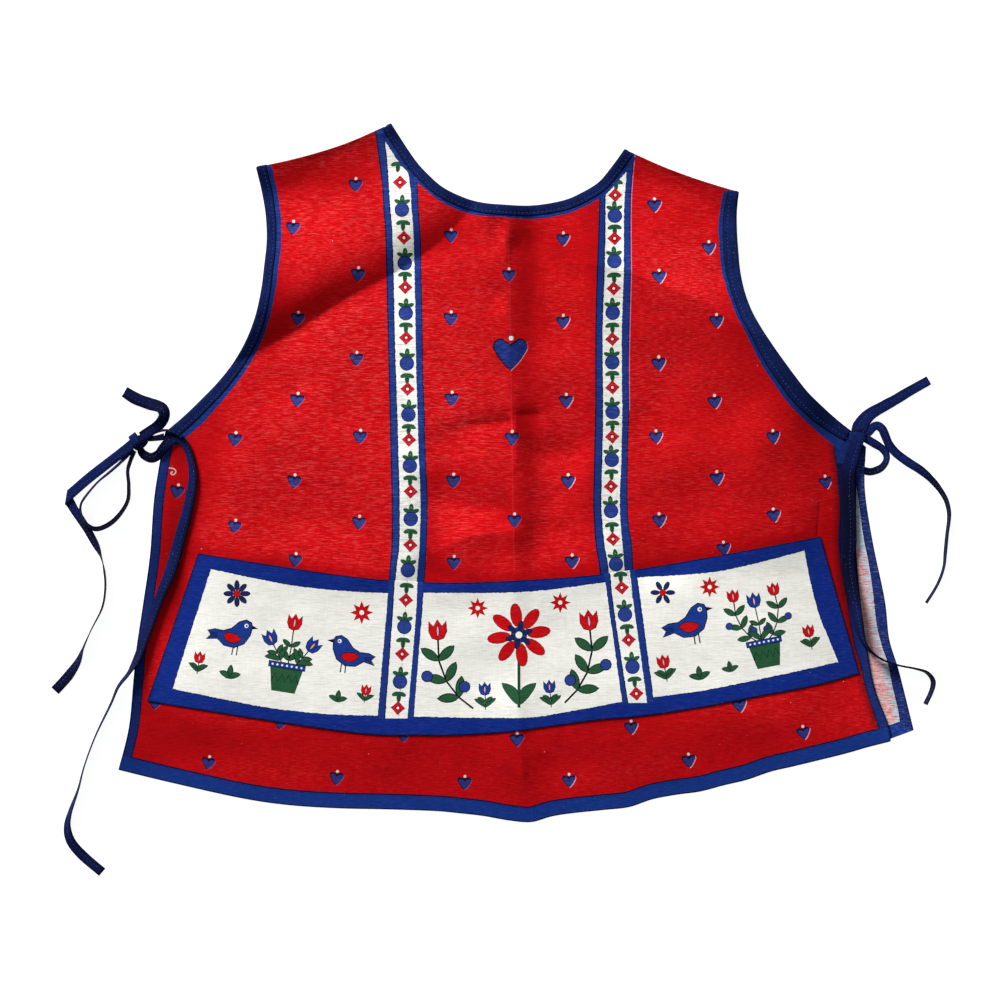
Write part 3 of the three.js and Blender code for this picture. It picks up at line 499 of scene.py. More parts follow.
# Creases of the front: a line, its height (a hollow is negative), how far it reaches to
# its left and to its right, how round its crest is, and how soon it fades at its ends.
CREASES = [
    # shoulders: a dip inside each seam
    ([(-290, 268), (-205, 280), (-100, 298), (-20, 310)], -4.6, 26, 56, 1.8, 0.05),
    ([(40, 320), (106, 296), (209, 260), (300, 228)], -4.4, 20, 52, 1.8, 0.05),
    # right chest: a sharp ridge from the band towards the armhole
    ([(16, 214), (70, 212), (111, 205), (136, 196), (160, 185), (184, 175), (205, 160), (226, 150),
      (300, 112), (460, 36)], 14.0, 62, 88, 1.06, (0.2, 0.05)),
    # centre crease, worn along its crest
    ([(-4, 350), (5, 250), (8, 130), (11, 20), (13, -60), (15, -190)], 5.8, 22, 74, 1.25, (0.05, 0.4)),
    ([(14, -150), (20, -240), (26, -330)], 2.8, 12, 30, 1.2, 0.2),
    # neck and chest, small hollows beside the centre crease
    ([(2, 256), (-2, 238), (0, 220)], -2.6, 5, 13, 1.5, 0.35),
    ([(4, 196), (-2, 180), (0, 166)], -1.8, 6, 13, 1.6, 0.4),
    ([(2, 230), (22, 228), (46, 234)], -3.0, 17, 16, 1.6, 0.35),
    ([(16, 222), (52, 212), (94, 198)], -1.9, 14, 26, 1.5, 0.35),
    ([(24, 140), (46, 118), (60, 92)], 1.6, 24, 22, 1.6, 0.45),
    # short creases across the waist
    ([(-60, 61), (-24, 67), (2, 70), (15, 71)], -4.4, 9.5, 26, 1.3, (0.6, 0.12)),
    ([(8, 75), (22, 77), (44, 76)], -2.3, 6, 20, 1.2, 0.35),
    ([(-78, 52), (-44, 56), (-14, 66)], -2.0, 14, 22, 1.5, 0.45),
    ([(14, 36), (46, 41), (86, 38)], -4.8, 16, 26, 1.6, 0.35),
    ([(-90, 10), (-42, -3), (-4, -8), (24, -10)], -6.4, 22, 36, 1.5, (0.4, 0.2)),
    ([(12, 6), (40, 2), (74, -6)], -2.0, 20, 20, 1.8, 0.45),
    ([(34, -21), (12, -27), (-20, -31), (-48, -40), (-80, -56)], 4.4, 16, 34, 1.35, (0.3, 0.45)),
    ([(10, -22), (44, -30), (84, -24)], -2.4, 18, 24, 1.7, 0.45),
    ([(-92, -66), (-54, -62), (-26, -66)], -2.2, 18, 14, 1.6, 0.45),
    # the skirt, which falls away to the right
    ([(210, 90), (236, 30), (240, -60)], 3.6, 96, 62, 1.8, 0.3),
    ([(284, -6), (285, -24), (286, -42)], -1.6, 3.5, 5, 1.2, 0.35),
    ([(-240, 118), (-200, 101), (-150, 98)], -1.8, 20, 26, 1.7, 0.45),
    ([(-190, 66), (-150, 80), (-110, 86)], -1.2, 14, 20, 1.7, 0.45),
    ([(-270, 22), (-190, 40), (-100, 62)], 1.7, 40, 50, 2.0, 0.4),
    ([(-250, -12), (-170, -14), (-96, -26)], -2.0, 30, 26, 1.8, 0.45),
    ([(110, 92), (140, 70), (166, 44)], -1.8, 30, 24, 1.8, 0.45),
    ([(110, 66), (200, 46), (290, 62)], 1.8, 36, 52, 2.0, 0.4),
    ([(110, 12), (190, 2), (300, -8)], -1.8, 28, 34, 1.8, 0.45),
    ([(226, 34), (268, 30), (318, 32)], -2.6, 22, 24, 1.6, 0.35),
    ([(100, -66), (136, -66), (186, -54)], -3.2, 24, 14, 1.6, 0.4),
    ([(-330, -212), (-280, -225), (-210, -236)], -1.8, 22, 26, 1.8, 0.4),
    ([(-110, -232), (-40, -242), (14, -246)], -2.0, 24, 26, 1.8, 0.4),
    ([(24, -232), (60, -238), (100, -226)], -1.6, 18, 18, 1.7, 0.45),
]

# Where the cloth drops sharply to a line: on its left and on its right, how steep it is,
# how wide at the line's two ends, how softly it levels out and how far off it settles
# again; last, the share of all that is left at the line's end.
DROPS = [
    ([(-262, 112), (-212, 136), (-176, 156), (-144, 177), (-101, 200), (-70, 219), (-44, 241), (-10, 282)],
     (0.43, (34, 19), 8, 96), (0.16, (16, 14), 7, 96), 0.62),
]

# Where an edge is lifted: a line, its height and its reach to the left and to the right.
LIFTS = [
    ([(-296, 66), (-305, 24), (-312, -30), (-320, -96)], 4.2, 26, 12, 0.45),
    ([(311, 66), (316, 24), (318, -40), (322, -90)], 0.3, 10, 20, 0.3)
]

BACK_LEVEL = 0.85
FRONT_LEVEL = 2.2
LOOSE = 5.2  # how far the front stands clear of the back away from its hems
LOOSE_REACH = 46
BOUND_RISE = 0.9
BOUND_REACH = 34
SEAM_RISE = 7.4  # the thick shoulder seams stand up
SEAM_REACH = 21
SEAM_CREST = 1.3
SEAM_MEET = 3.5  # within this the back rises to the front
MEET_RISE = 0.6
LEAST_ROOM = 0.5  # between the layers
BOUND_LIFT = 2.0
SETTLE = 0.7  # how softly the front comes to lie on the back
GAPE = 0.9  # how far the pockets stand open
GAPE_REACH = 16
SEAM_HOLD = 40
POCKET_CLEAR = 0.2

bound_edges = [np.vstack(smooth(rows, 14)) for rows in (NECKLINE, LEFT_ARMHOLE, RIGHT_ARMHOLE)]
turned_edges = [smooth(rows, 14) for rows in (RIGHT_SIDE, HEM, LEFT_SIDE)]
shoulder_lines = [left_shoulder, right_shoulder]

# Widths of the bindings along their edges.
NECK_WIDTHS = [8.4, 8.2, 8.2, 8.2, 8.4]
LEFT_WIDTHS = [9.6, 9.4, 8.8, 8.4, 8, 7.4, 7.6, 8, 8.2]
RIGHT_WIDTHS = [8.7, 11.6, 12.2, 10.2, 10.2, 13.6, 14.6, 14, 10]


def closest(points, lines):
    return np.min([nearest(points, line)[0] for line in lines], axis=0)


RIPPLES = [(1.1, 62, 44, 2.0), (0.3, 30, 15, 7.0)]  # how high, long and wide, and a seed


def ripples(points):
    """Small unevenness of cloth that has been worn and washed."""
    total = 0.0
    for size, long, wide, seed in RIPPLES:
        total = total + size * np.array([noise.noise(Vector((x / long, y / wide, seed))) for x, y in points])
    return total


def crease_height(points):
    total = np.zeros(len(points))
    for line, height, left, right, crest, fade in CREASES:
        distance, side, along = nearest(points, smooth(line, 10))
        reach = np.where(side > 0, left, right)
        first, last = np.broadcast_to(fade, 2)
        ends = eased(along, 0, first) * eased(1 - along, 0, last)
        total += height * ends * bell(distance, reach, crest)
    for line, left, right, last in DROPS:
        distance, side, along = nearest(points, smooth(line, 10))
        for on_side, (steep, (first_wide, last_wide), soft, spread) in ((side > 0, left), (side <= 0, right)):
            wide = first_wide + (last_wide - first_wide) * along
            level = np.log1p(np.exp((distance - wide) / soft)) - np.log1p(np.exp(-wide / soft))
            ends = (1 - (1 - last) * along) * eased(1 - along, 0, 0.1)
            drop = steep * (distance - soft * level) * bell(distance, spread)
            total += on_side * ends * drop
    return total


def edge_lift(points):
    total = np.zeros(len(points))
    for line, height, left, right, fade in LIFTS:
        distance, side, along = nearest(points, smooth(line, 10))
        ends = eased(along, 0, fade) * eased(1 - along, 0, fade)
        total += height * ends * bell(distance, np.where(side > 0, left, right))
    return total


def back_level(points):
    """Height of the back's upper side where nothing holds it to the front."""
    near = bell(closest(points, bound_edges), BOUND_REACH)
    return BACK_LEVEL + BOUND_RISE * near + seam_rise(points)


def meeting(points):
    return bell(closest(points, shoulder_lines), SEAM_MEET)


def back_top(points):
    return back_level(points) + MEET_RISE * meeting(points)


def seam_rise(points):
    return SEAM_RISE * bell(closest(points, shoulder_lines), SEAM_REACH, SEAM_CREST)


def front_top(points):
    """Height of the front's printed face."""
    points = np.asarray(points, float)
    near = bell(closest(points, bound_edges), BOUND_REACH)
    loose = np.prod([1 - bell(nearest(points, line)[0], LOOSE_REACH) for line in turned_edges], axis=0)
    level = FRONT_LEVEL + LOOSE * loose
    lowest = BACK_LEVEL + CLOTH + LEAST_ROOM + BOUND_LIFT * near + seam_rise(points)
    height = level + loose * (crease_height(points) + ripples(points)) + edge_lift(points)
    settled = lowest + SETTLE * np.log1p(np.exp(np.clip((height - lowest) / SETTLE, -30, 30)))
    return settled + meeting(points) * (back_level(points) + MEET_RISE + 1.0 - settled)


def pocket_under(points):
    """Underside of the pocket strip: on the front, and loose along its open top."""
    points = np.asarray(points, float)
    gape = GAPE * bell(nearest(points, pocket_top)[0], GAPE_REACH)
    return front_top(points) + POCKET_CLEAR + gape * eased(closest(points, POCKET_SEAMS), 0, SEAM_HOLD)


pocket_top = smooth(POCKET_TOP)
pocket_bottom = smooth(POCKET_BOTTOM)
POCKET_SEAMS = [
    np.array([(-83, -70), (-92, -212.0)]), np.array([(114, -62), (139, -194.0)]),
    np.array([(-271, -48), (-317, -181.0)]), np.array([(288, -33), (323, -156.0)])
]


# ---- a sheet of cloth, meshed with its print

RIM_RINGS = (0.3, 1.6)  # inside the edge, so that only the edge itself looks round
# painted shade: the cut edge takes its face's colour darkened by this much
RIM_SHADE = 0.6
EDGE_BULGE = 0.25
GRID_SHAKE = 0.18


def grid_in(outline, step):
    """Points of an uneven triangular grid within an outline."""
    low, high = outline.min(0), outline.max(0)
    xs = np.arange(low[0], high[0], step)
    ys = np.arange(low[1], high[1], step * 0.87)
    x, y = np.meshgrid(xs, ys)
    x = x + (np.arange(len(ys)) % 2)[:, None] * step / 2
    points = np.stack([x.ravel(), y.ravel()], 1)
    points = points + rng.uniform(-GRID_SHAKE, GRID_SHAKE, points.shape) * step
    points = points[inside(points, outline)]
    return points[nearest(points, ended(outline))[0] > 0.45 * step]


def face_of(outline, coloured_shapes, lines, step):
    """Flat triangles over an outline, each with the number of the coloured shape on it."""
    corners = [Vector(p) for p in outline]
    edges = []
    rings = [grown(outline, -inset) for inset in RIM_RINGS]
    closed_lines = rings + [shape for shape, _ in coloured_shapes]
    for line, closed in [(shape, True) for shape in closed_lines] + [(line, False) for line in lines]:
        first, count = len(corners), len(line)
        corners += [Vector(p) for p in line]
        edges += [(first + i, first + i + 1) for i in range(count - 1)]
        if closed:
            edges.append((first + count - 1, first))
    corners += [Vector(p) for p in grid_in(outline, step)]
    flat, _, faces, _, _, sources = delaunay_2d_cdt(
        corners, edges, [list(range(len(outline)))], 0, 1e-5, True
    )
    points = np.array([tuple(p) for p in flat])
    triangles = np.array(
        [(face[0], face[i], face[i + 1]) for face,
            source in zip(faces, sources) if 0 in source for i in range(1, len(face) - 1)]
    )
    middles = points[triangles].mean(1)
    layer = np.zeros(len(triangles), int)
    for number, (shape, _) in enumerate(coloured_shapes, 1):
        shape = np.asarray(shape, float)
        near = ((middles > shape.min(0)) & (middles < shape.max(0))).all(1).nonzero()[0]
        layer[near[inside(middles[near], shape)]] = number
    used, index = np.unique(triangles, return_inverse=True)
    return points[used], index.reshape(-1, 3), layer


def rim_of(triangles):
    """The corners along the edge of a face, in order, and the triangle at each."""
    seen = {}
    for t, (a, b, c) in enumerate(triangles.tolist()):
        for pair in ((a, b), (b, c), (c, a)):
            if (pair[1], pair[0]) in seen:
                del seen[(pair[1], pair[0])]
            else:
                seen[pair] = t
    following = {a: (b, t) for (a, b), t in seen.items()}
    start = next(iter(following))
    loop = [start]
    beside = [following[start][1]]
    while following[loop[-1]][0] != start:
        loop.append(following[loop[-1]][0])
        beside.append(following[loop[-1]][1])
    return loop, beside


def begun_at(loop, beside, points, corner):
    k = int(np.argmin(np.hypot(*(points[loop] - corner).T)))
    return loop[k:] + loop[:k], beside[k:] + beside[:k]


def sheet_object(name, outline, top, under, top_shapes, under_shapes, lines, steps, grounds, finish):
    """A closed sheet: a printed face above, one below and a rounded edge between."""
    faces = []
    for coloured_shapes, extra, step, ground in (
        (top_shapes, lines, steps[0], grounds[0]),
        (under_shapes, lines[:len(lines) // 2], steps[1], grounds[1])
    ):
        points, triangles, layer = face_of(outline, coloured_shapes, extra, step)
        palette = np.array([ground] + [colour for _, colour in coloured_shapes])
        loop, beside = begun_at(*rim_of(triangles), points, outline[0])
        faces.append((points, triangles, palette[layer], loop, beside))
    (pa, ta, ca, la, sa), (pb, tb, cb, lb, _) = faces
    za, zb = top(pa), under(pb)
    ring = pa[la]
    closed = np.vstack([ring[-1:], ring, ring[:1]])
    middle = moved(closed, -EDGE_BULGE)[1:-1]
    zm = (za[la] + under(ring)) / 2
    vertices = np.vstack([np.c_[pa, za], np.c_[pb, zb], np.c_[middle, zm]])
    first_b, first_m = len(pa), len(pa) + len(pb)
    count, other = len(la), len(lb)
    rim, rim_colours = [], []
    far_a, far_b = (far / far[-1] for far in (run_of(ended(ring)), run_of(ended(pb[lb]))))
    j = 0
    for i in range(count):
        m, after = first_m + i, first_m + (i + 1) % count
        # painted shade on the cut edge
        colour = ca[sa[i]] * RIM_SHADE
        rim += [(m, after, la[(i + 1) % count]), (m, la[(i + 1) % count], la[i])]
        rim_colours += [colour, colour]
        while j < other and (far_b[j + 1] <= far_a[i + 1] + 1e-9 or i == count - 1):
            rim.append((first_b + lb[j], first_b + lb[(j + 1) % other], m))
            rim_colours.append(colour)
            j += 1
        rim.append((first_b + lb[j % other], after, m))
        rim_colours.append(colour)
    triangles = np.vstack([ta, tb[:, ::-1] + first_b, np.array(rim)])
    colours = np.vstack([ca, cb, np.array(rim_colours)])
    made = mesh_object(name, vertices, triangles, finish)
    colour_each_triangle(made.data, colours)
    even_normals(made.data)
    return made


def even_normals(mesh):
    """Each corner's normal goes by the areas round it, so that no sliver turns it."""
    corners = np.empty(3 * len(mesh.vertices))
    mesh.vertices.foreach_get("co", corners)
    corners = corners.reshape(-1, 3)
    faces = np.empty(3 * len(mesh.polygons), int)
    mesh.loops.foreach_get("vertex_index", faces)
    a, b, c = corners[faces.reshape(-1, 3)].transpose(1, 0, 2)
    across = np.repeat(np.cross(b - a, c - a), 3, axis=0)
    normals = np.stack([np.bincount(faces, across[:, k], len(corners)) for k in range(3)], axis=1)
    normals /= np.maximum(np.linalg.norm(normals, axis=1, keepdims=True), 1e-12)
    mesh.normals_split_custom_set_from_vertices(normals.tolist())


def mesh_object(name, vertices, polygons, finish):
    """A smooth piece from corners in millimetres."""
    mesh = bpy.data.meshes.new(name)
    if isinstance(polygons, np.ndarray):
        polygons = polygons.tolist()
    mesh.from_pydata((np.asarray(vertices) * MM).tolist(), [], polygons)
    mesh.validate()
    mesh.polygons.foreach_set("use_smooth", [True] * len(mesh.polygons))
    mesh.materials.append(finish)
    mesh.update()
    return added(name, mesh)


def colour_each_triangle(mesh, colours):
    """One colour on each triangle, from its print; some shapes and the cut edge carry painted shade."""
    print_and_shade = mesh.attributes.new("print_and_shade", "FLOAT_COLOR", "CORNER")
    rgba = np.repeat(np.c_[colours, np.ones(len(colours))], 3, axis=0)
    print_and_shade.data.foreach_set("color", rgba.ravel())


PLAIN_DYE = 1.0  # neither faded nor shaded


def mark(mesh, name, values):
    """A number at each corner, for a finish to read."""
    layer = mesh.attributes.new(name, "FLOAT", "POINT")
    layer.data.foreach_set("value", np.broadcast_to(np.asarray(values, float), len(layer.data)).copy())


# ---- the print: small traditional figures, each a list of outlines with a colour

def set_at(points, x, y, turn=0.0, size=1.0):
    """A figure's points, sized, turned and put in place."""
    c, s = turned(turn)
    points = np.asarray(points, float) * size
    return np.stack([x + points[:, 0] * c - points[:, 1] * s, y + points[:, 0] * s + points[:, 1] * c], 1)


def placed(figure, x, y, turn=0.0, size=1.0):
    return [(set_at(shape, x, y, turn, size), colour) for shape, colour in figure]


def grown(shape, distance):
    """An outline made larger all round."""
    shape = np.asarray(shape, float)
    closed = np.vstack([shape[-1:], shape, shape[:1]])
    x, y = shape.T
    area = (x * np.roll(y, -1) - y * np.roll(x, -1)).sum()
    return moved(closed, -distance * math.copysign(1, area))[1:-1]


def outlined(shape, colour, line=0.45):
    return [(grown(shape, line), BLACK), (shape, colour)]


OVAL_POINTS = 14
LEAF_POINTS = 8


def disc(radius, x=0.0, y=0.0, count=OVAL_POINTS):
    t = np.linspace(0, 2 * math.pi, count, endpoint=False)
    return np.stack([x + radius * np.cos(t), y + radius * np.sin(t)], 1)


def oval(long, wide, x, y, turn):
    """An oval that starts at a point and runs off along a direction."""
    t = np.linspace(0, 2 * math.pi, OVAL_POINTS, endpoint=False)
    return set_at(np.stack([long / 2 + long / 2 * np.cos(t), wide / 2 * np.sin(t)], 1), x, y, turn)


def leaf(long, wide, x=0.0, y=0.0, turn=0.0, bend=0.0):
    """A pointed leaf from its foot."""
    t = np.linspace(0, 1, LEAF_POINTS)
    swell, bow = np.sin(t * math.pi) ** 0.8 * wide / 2, bend * np.sin(t * math.pi)
    upper, lower = np.stack([t * long, swell + bow], 1), np.stack([t * long, -swell + bow], 1)
    return set_at(np.vstack([upper, lower[-2:0:-1]]), x, y, turn)


def stroke(points, width=0.6):
    """A drawn line with square ends."""
    return strip_between(np.asarray(points, float), -width / 2, width / 2)


def small_heart(gap):
    """A blue heart and its bead, printed a little out of register with its ground."""
    half = [(0, -7.8), (2.0, -6.2), (4.2, -3.2), (5.8, -0.4), (6.3, 1.2), (5.8, 2.8), (4.3, 3.5), (2.3, 3.2)]
    body = np.array(half + [(0, 2.2)] + [(-x, y) for x, y in half[:0:-1]])
    dark = np.array([(-6.1, 1.0), (-5.7, 2.8), (-4.2, 3.5), (-2.1, 3.2), (0, 2.2), (2.1, 3.2), (4.2, 3.5),
                     (5.7, 2.8), (6.1, 1.0), (4.5, 2.1), (2.3, 1.9), (0, -0.2), (-2.3, 1.9), (-4.5, 2.1)])
    return [
        (set_at(body, 0.55, -0.5, 0, 1.02), gap), (set_at(body, -0.3, 0.25, 0, 1.04), HEART_DARK),
        (set_at(body, 0.05, -0.15, 0, 0.9), HEART_BLUE), (dark, HEART_DARK), (disc(1.9, 0.2, 4.7), DEEP_RED),
        (disc(1.45, 0.2, 4.8), BEAD)
    ]


def large_heart():
    t = np.linspace(0, 1, 9)[:, None]
    tip, shoulder = np.array([(0.4, -16.4)]), np.array([(16.0, 4.0)])
    side = tip + (shoulder - tip) * t + np.array([(0.9, -0.9)]) * np.sin(t * math.pi)
    lobe = np.array([(16.2, 6.6), (14.8, 10.6), (11.6, 13.2), (7.6, 13.2), (3.6, 10.4), (0, 7.8)])
    half = np.vstack([side, lobe])
    body = np.vstack([half, half[-2:0:-1] * (-1, 1)])
    return [
        (set_at(body, 0.35, -0.3), PINK), (grown(set_at(body, -0.3, 0.3), 0.3), BLACK),
        (grown(set_at(body, 0.1, -0.1), -0.9), ink(26, 45, 122)), (disc(3.0, 0.6, 14.0), DEEP_RED),
        (disc(2.3, 0.6, 14.1), WHITE)
    ]


def diamond():
    shape = np.array(
        [(6.6, 0), (3.4, 2.9), (0, 6.4), (-3.4, 2.9), (-6.6, 0), (-3.4, -2.9), (0, -6.4), (3.4, -2.9)]
    )
    return [
        (shape, ink(150, 22, 34)), (shape * 0.8, ink(204, 22, 38)), (disc(2.5), ink(140, 14, 26)),
        (disc(1.2), WHITE)
    ]


def crown_leaves():
    shapes = (oval(7.8, 3.9, 0, -0.2, 24), oval(7.8, 3.9, 0, -0.2, 156), oval(8.6, 4.4, 0, -0.6, 90))
    return [(shape, GREEN) for shape in shapes] + [
        (disc(0.8, 0, 4.2, 8), LEAF_LIGHT), (stroke([(0, 0), (0, 2.6)], 0.6), LEAF_EDGE)
    ]


def fruit():
    return placed(crown_leaves(), 0, 5.7) + [
        (disc(6.6, count=20), ink(18, 32, 92)), (disc(5.8, count=20), BERRY)
    ]


def hanging_sprig():
    return [
        (oval(7.5, 4.0, -0.6, 2.8, -22), GREEN), (oval(7.5, 4.0, 0.6, 2.8, 202), GREEN),
        (oval(10.2, 4.2, 0, 3.9, -90), GREEN), (stroke([(0, 1.3), (0, -4.8)], 0.6), LEAF_EDGE)
    ]


def tulip(colour=RED):
    cup = np.array(
        [(0, -5.2), (3.0, -4.2), (4.6, -0.8), (4.4, 4.6), (2.2, 1.8), (0, 5.4), (-2.2, 1.8), (-4.4, 4.6),
            (-4.6, -0.8), (-3.0, -4.2)]
    )
    return outlined(cup, colour) + [(leaf(7, 2.2, 0, -4, 90), BLACK), (leaf(5.6, 1.2, 0, -3.4, 90), PINK)]


def tulip_plant(tall, colour):
    figure = [(stroke([(0, 0), (0.3, tall * 0.5), (0, tall)], 0.8), BLACK)]
    for turn in (38, 142):
        figure += outlined(leaf(11, 3.6, 0, 2, turn, 1.2 if turn < 90 else -1.2), GREEN)
    for turn in (34, 146):
        figure += outlined(leaf(7, 2.6, 0, tall * 0.48, turn), GREEN)
    return figure + placed(tulip(colour), 0, tall + 4)


def rosette(radius, petals, colour, heart_colour):
    figure = []
    for k in range(petals):
        turn, start = 2 * math.pi * k / petals, radius * 0.26
        petal = oval(
            radius * 0.72, radius * 0.34, start * math.cos(turn), start * math.sin(turn), 360 * k / petals
        )
        figure += outlined(petal, colour, 0.4)
    return figure + outlined(disc(radius * 0.24), heart_colour, 0.4)


def folk_star(radius):
    points = []
    for k in range(16):
        reach = radius if k % 2 == 0 else radius * 0.5
        points.append((reach * math.sin(math.pi * k / 8), reach * math.cos(math.pi * k / 8)))
    return outlined(np.array(points), RED, 0.4) + outlined(disc(radius * 0.22), WHITE, 0.3)


def sitting_bird(flip):
    body = np.array(
        [(-13, 1.5), (-9.5, 2.6), (-5, 2.4), (-1, 4.2), (2.6, 8.2), (5.8, 9.6), (8.4, 8.6), (9.2, 6.4),
            (8.6, 2.2), (6.2, -2.4), (1.6, -5.0), (-3.6, -4.6), (-7.6, -1.6), (-13.4, -2.6), (-11, -0.4)]
    )
    figure = [
        (grown(body, 0.5), BLACK), (body, BLUE), (np.array([(9.0, 7.6), (12.6, 6.2), (9.0, 5.4)]), BLACK),
        *outlined(leaf(9.5, 4.6, 4.6, -0.6, 172, 0.6), RED, 0.4), (disc(1.1, 6.2, 6.8, 8), WHITE),
        (disc(0.55, 6.4, 6.8, 6), BLACK), (stroke([(1.2, -4.8), (1.0, -9.0)], 0.6), BLACK),
        (stroke([(3.4, -4.2), (3.4, -9.0)], 0.6), BLACK)
    ]
    figure += [
        (stroke([(-12.4 + 0.4 * k, 1.0 - 1.1 * k), (-7.8, 0.6 - 0.7 * k)], 0.4), BLACK) for k in range(3)
    ]
    return [(shape * (flip, 1), tone) for shape, tone in figure]


def flower_pot():
    pot = np.array([(-10, 7), (-7, -7.5), (7, -7.5), (10, 7)])
    rim = np.array([(-11.5, 7), (-11.5, 10), (11.5, 10), (11.5, 7)])
    wave = [(-8.6 + 2.15 * k, 0.6 + (2.6 if k % 2 else -2.6)) for k in range(9)]
    return [*outlined(pot, GREEN), *outlined(rim, BLUE), (stroke(wave, 0.6), BLACK),
            *[(disc(0.7, -9 + 3 * k, 8.5, 6), WHITE) for k in range(7)]]


def sprout():
    return [*outlined(leaf(8, 3, 0, 0, 90), GREEN), *outlined(leaf(7, 2.8, 0, 0, 28, 0.8), GREEN),
            *outlined(leaf(7, 2.8, 0, 0, 152, -0.8), GREEN)]


def berry_branch(flip):
    stem = [(0, 0), (6, 5), (11, 12), (14, 21), (14, 31)]
    figure = [(stroke(stem, 0.8), BLACK)]
    for x, y, turn in ((6, 5, 100), (6, 5, -2), (11, 12, 118), (11, 12, 14), (14, 21, 138), (14, 21, 36)):
        figure += outlined(leaf(9, 3.4, x, y, turn), GREEN, 0.4)
    figure += placed(tulip(RED), 14, 34, 0, 0.8)
    for x, y in ((3.4, 9.4), (19.2, 14.4)):
        figure += outlined(disc(2.2, x, y, 10), BERRY, 0.4)
    return [(shape * (flip, 1), tone) for shape, tone in figure]


# ---- where the print goes

SMALL_HEARTS = [
    (-129.6, 284), (-185.4, 245.3), (-44, 238), (-127, 203.4), (8, 202.5), (-181, 163.8), (-44, 163.8),
    (-128.7, 127.8), (-181.8, 91), (-43.2, 92), (-237.6, 55.8), (-125.5, 58), (10.8, 56.7), (-184.5, 18),
    (-289.8, 9), (-41.8, 18.4), (-238, -22.5), (-126.5, -19), (13, -17), (-183.6, -52.6), (-41.4, -55),
    (138.6, 265.5), (56.7, 235), (187.2, 227), (142.2, 200.7), (56.7, 161), (193.5, 161), (142.2, 123.3),
    (59.4, 90), (192.2, 89), (140, 57.6), (244.4, 57.6), (61.2, 18), (194.4, 20.7), (292.5, 17), (143, -17),
    (245.3, -12.6), (64.8, -54), (200.7, -42.3), (-309.6, -181), (-261.9, -235), (-197, -198.5),
    (-146.7, -248.5), (-86.4, -209.5), (-31.8, -253), (15.3, -213.5), (62.1, -251), (117.9, -203),
    (169.7, -233), (215, -183), (272.7, -208)
]
BIG_HEART = (9.4, 131.5)


def print_turn(x, y):
    """How far the print has turned with the cloth: its two halves hang outwards."""
    return 11.5 * np.clip(x / 290, -1, 1) * (1 - 0.6 * eased(y, -60, 320))


# The two flowered bands: at each height, the outer edge of the left border, both edges
# of the pale ground and the outer edge of the right border.
LEFT_BAND = [
    (338, -112, -104, -104, -95), (325, -110.2, -103.2, -94, -86), (300, -107, -100.8, -84, -76.5),
    (280, -104.5, -99.4, -80.4, -73.6), (260, -103.4, -98.1, -79.2, -72.8),
    (240, -101.8, -96.3, -77.6, -71.2), (200, -100.8, -95.2, -76.6, -70.2), (160, -99.9, -94.5, -75.8, -69.4),
    (120, -98.9, -93.4, -75.2, -69), (80, -98, -92, -74, -67.6), (40, -97.1, -91, -72.9, -66.6),
    (0, -96.2, -90, -71.4, -64.9), (-40, -96.3, -90.2, -72.2, -65.6), (-62, -98, -92.8, -73.9, -66.8),
    (-100, -101, -96, -77, -70)
]
RIGHT_BAND = [
    (330, 97, 112, 112, 124), (313, 92, 100, 113.4, 121), (290, 90.6, 95.6, 113.4, 119),
    (270, 90.2, 94.8, 111.6, 117.6), (240, 89, 94.4, 110.8, 117), (200, 87.4, 93.4, 110.4, 116.9),
    (160, 86.5, 92, 109, 116), (120, 86.3, 92, 109, 115.4), (80, 86.3, 92.4, 109.5, 115.8),
    (40, 85.5, 91.8, 108.8, 114.6), (0, 84.7, 90.9, 107.4, 114.4), (-20, 85.4, 91.9, 108.2, 115.4),
    (-40, 86.8, 93.8, 109.8, 118.4), (-62, 90.2, 97.4, 111.8, 119.8), (-100, 93.5, 100.5, 115, 123)
]
POCKET_LEFT_BAND = [
    (-62, -99.4, -93.6, -73.6, -67.6), (-111, -101.9, -96.8, -76, -70.2), (-196, -109.8, -103, -83.2, -77.4)
]
POCKET_RIGHT_BAND = [
    (-60, 92.6, 98.4, 116, 121.6), (-97, 96.1, 102.2, 120.3, 126), (-182, 108.9, 115, 132, 138.6)
]

# The heights of the bands' figures: a sprig, a diamond and a fruit, over and over.
LEFT_BAND_FIGURES = [
    300, 284.8, 260, 247, 234.9, 212.4, 201, 190.8, 167.4, 155.5, 145.4, 122.4, 110, 99.5, 76.5, 64.5, 54,
    30.6, 18.5, 7.6, -17, -29.6, -40.5, -63
]
RIGHT_BAND_FIGURES = [
    284, 273.6, 254.7, 243, 234, 213.3, 199.5, 189, 167.4, 155, 144, 123.3, 112, 100.8, 78.8, 67.5, 56.7, 36,
    24, 12.2, -9.9, -23.5, -35.1, -57.6
]
POCKET_LEFT_FIGURES = [-78, -89.6, -113.8, -127, -138.2, -163, -175.5, -186.6]
POCKET_RIGHT_FIGURES = [-68, -78.6, -102.8, -115, -125.5, -149.6, -162, -173.7]
FIGURES = (hanging_sprig, diamond, fruit)


def band_prints(rows, ragged_step=1.5):
    """A band's blue borders, its pale ground and the lines of ill-fitting print."""
    rows = np.array(rows, float)
    lines = [smooth(rows[:, [k, 0]], 4) for k in (1, 2, 3, 4)]
    a, b, c, d = lines
    return [
        (between(moved(a, 0.7), moved(d, -0.1)), PINK),
        (between(moved(a, -1.1), ragged(d, ragged_step, 0.2)), DEEP_BLUE),
        (between(ragged(a, ragged_step, 0.15), moved(d, -0.9)), BAND_BLUE),
        (between(moved(b, -0.9), moved(c, 0.2)), DEEP_BLUE),
        (between(ragged(b, ragged_step, 0.25), ragged(c, ragged_step, 0.25)), LINEN)
    ]


FIGURE_SHIFT = 0.8  # the left band's figures sit a little to the right of its middle


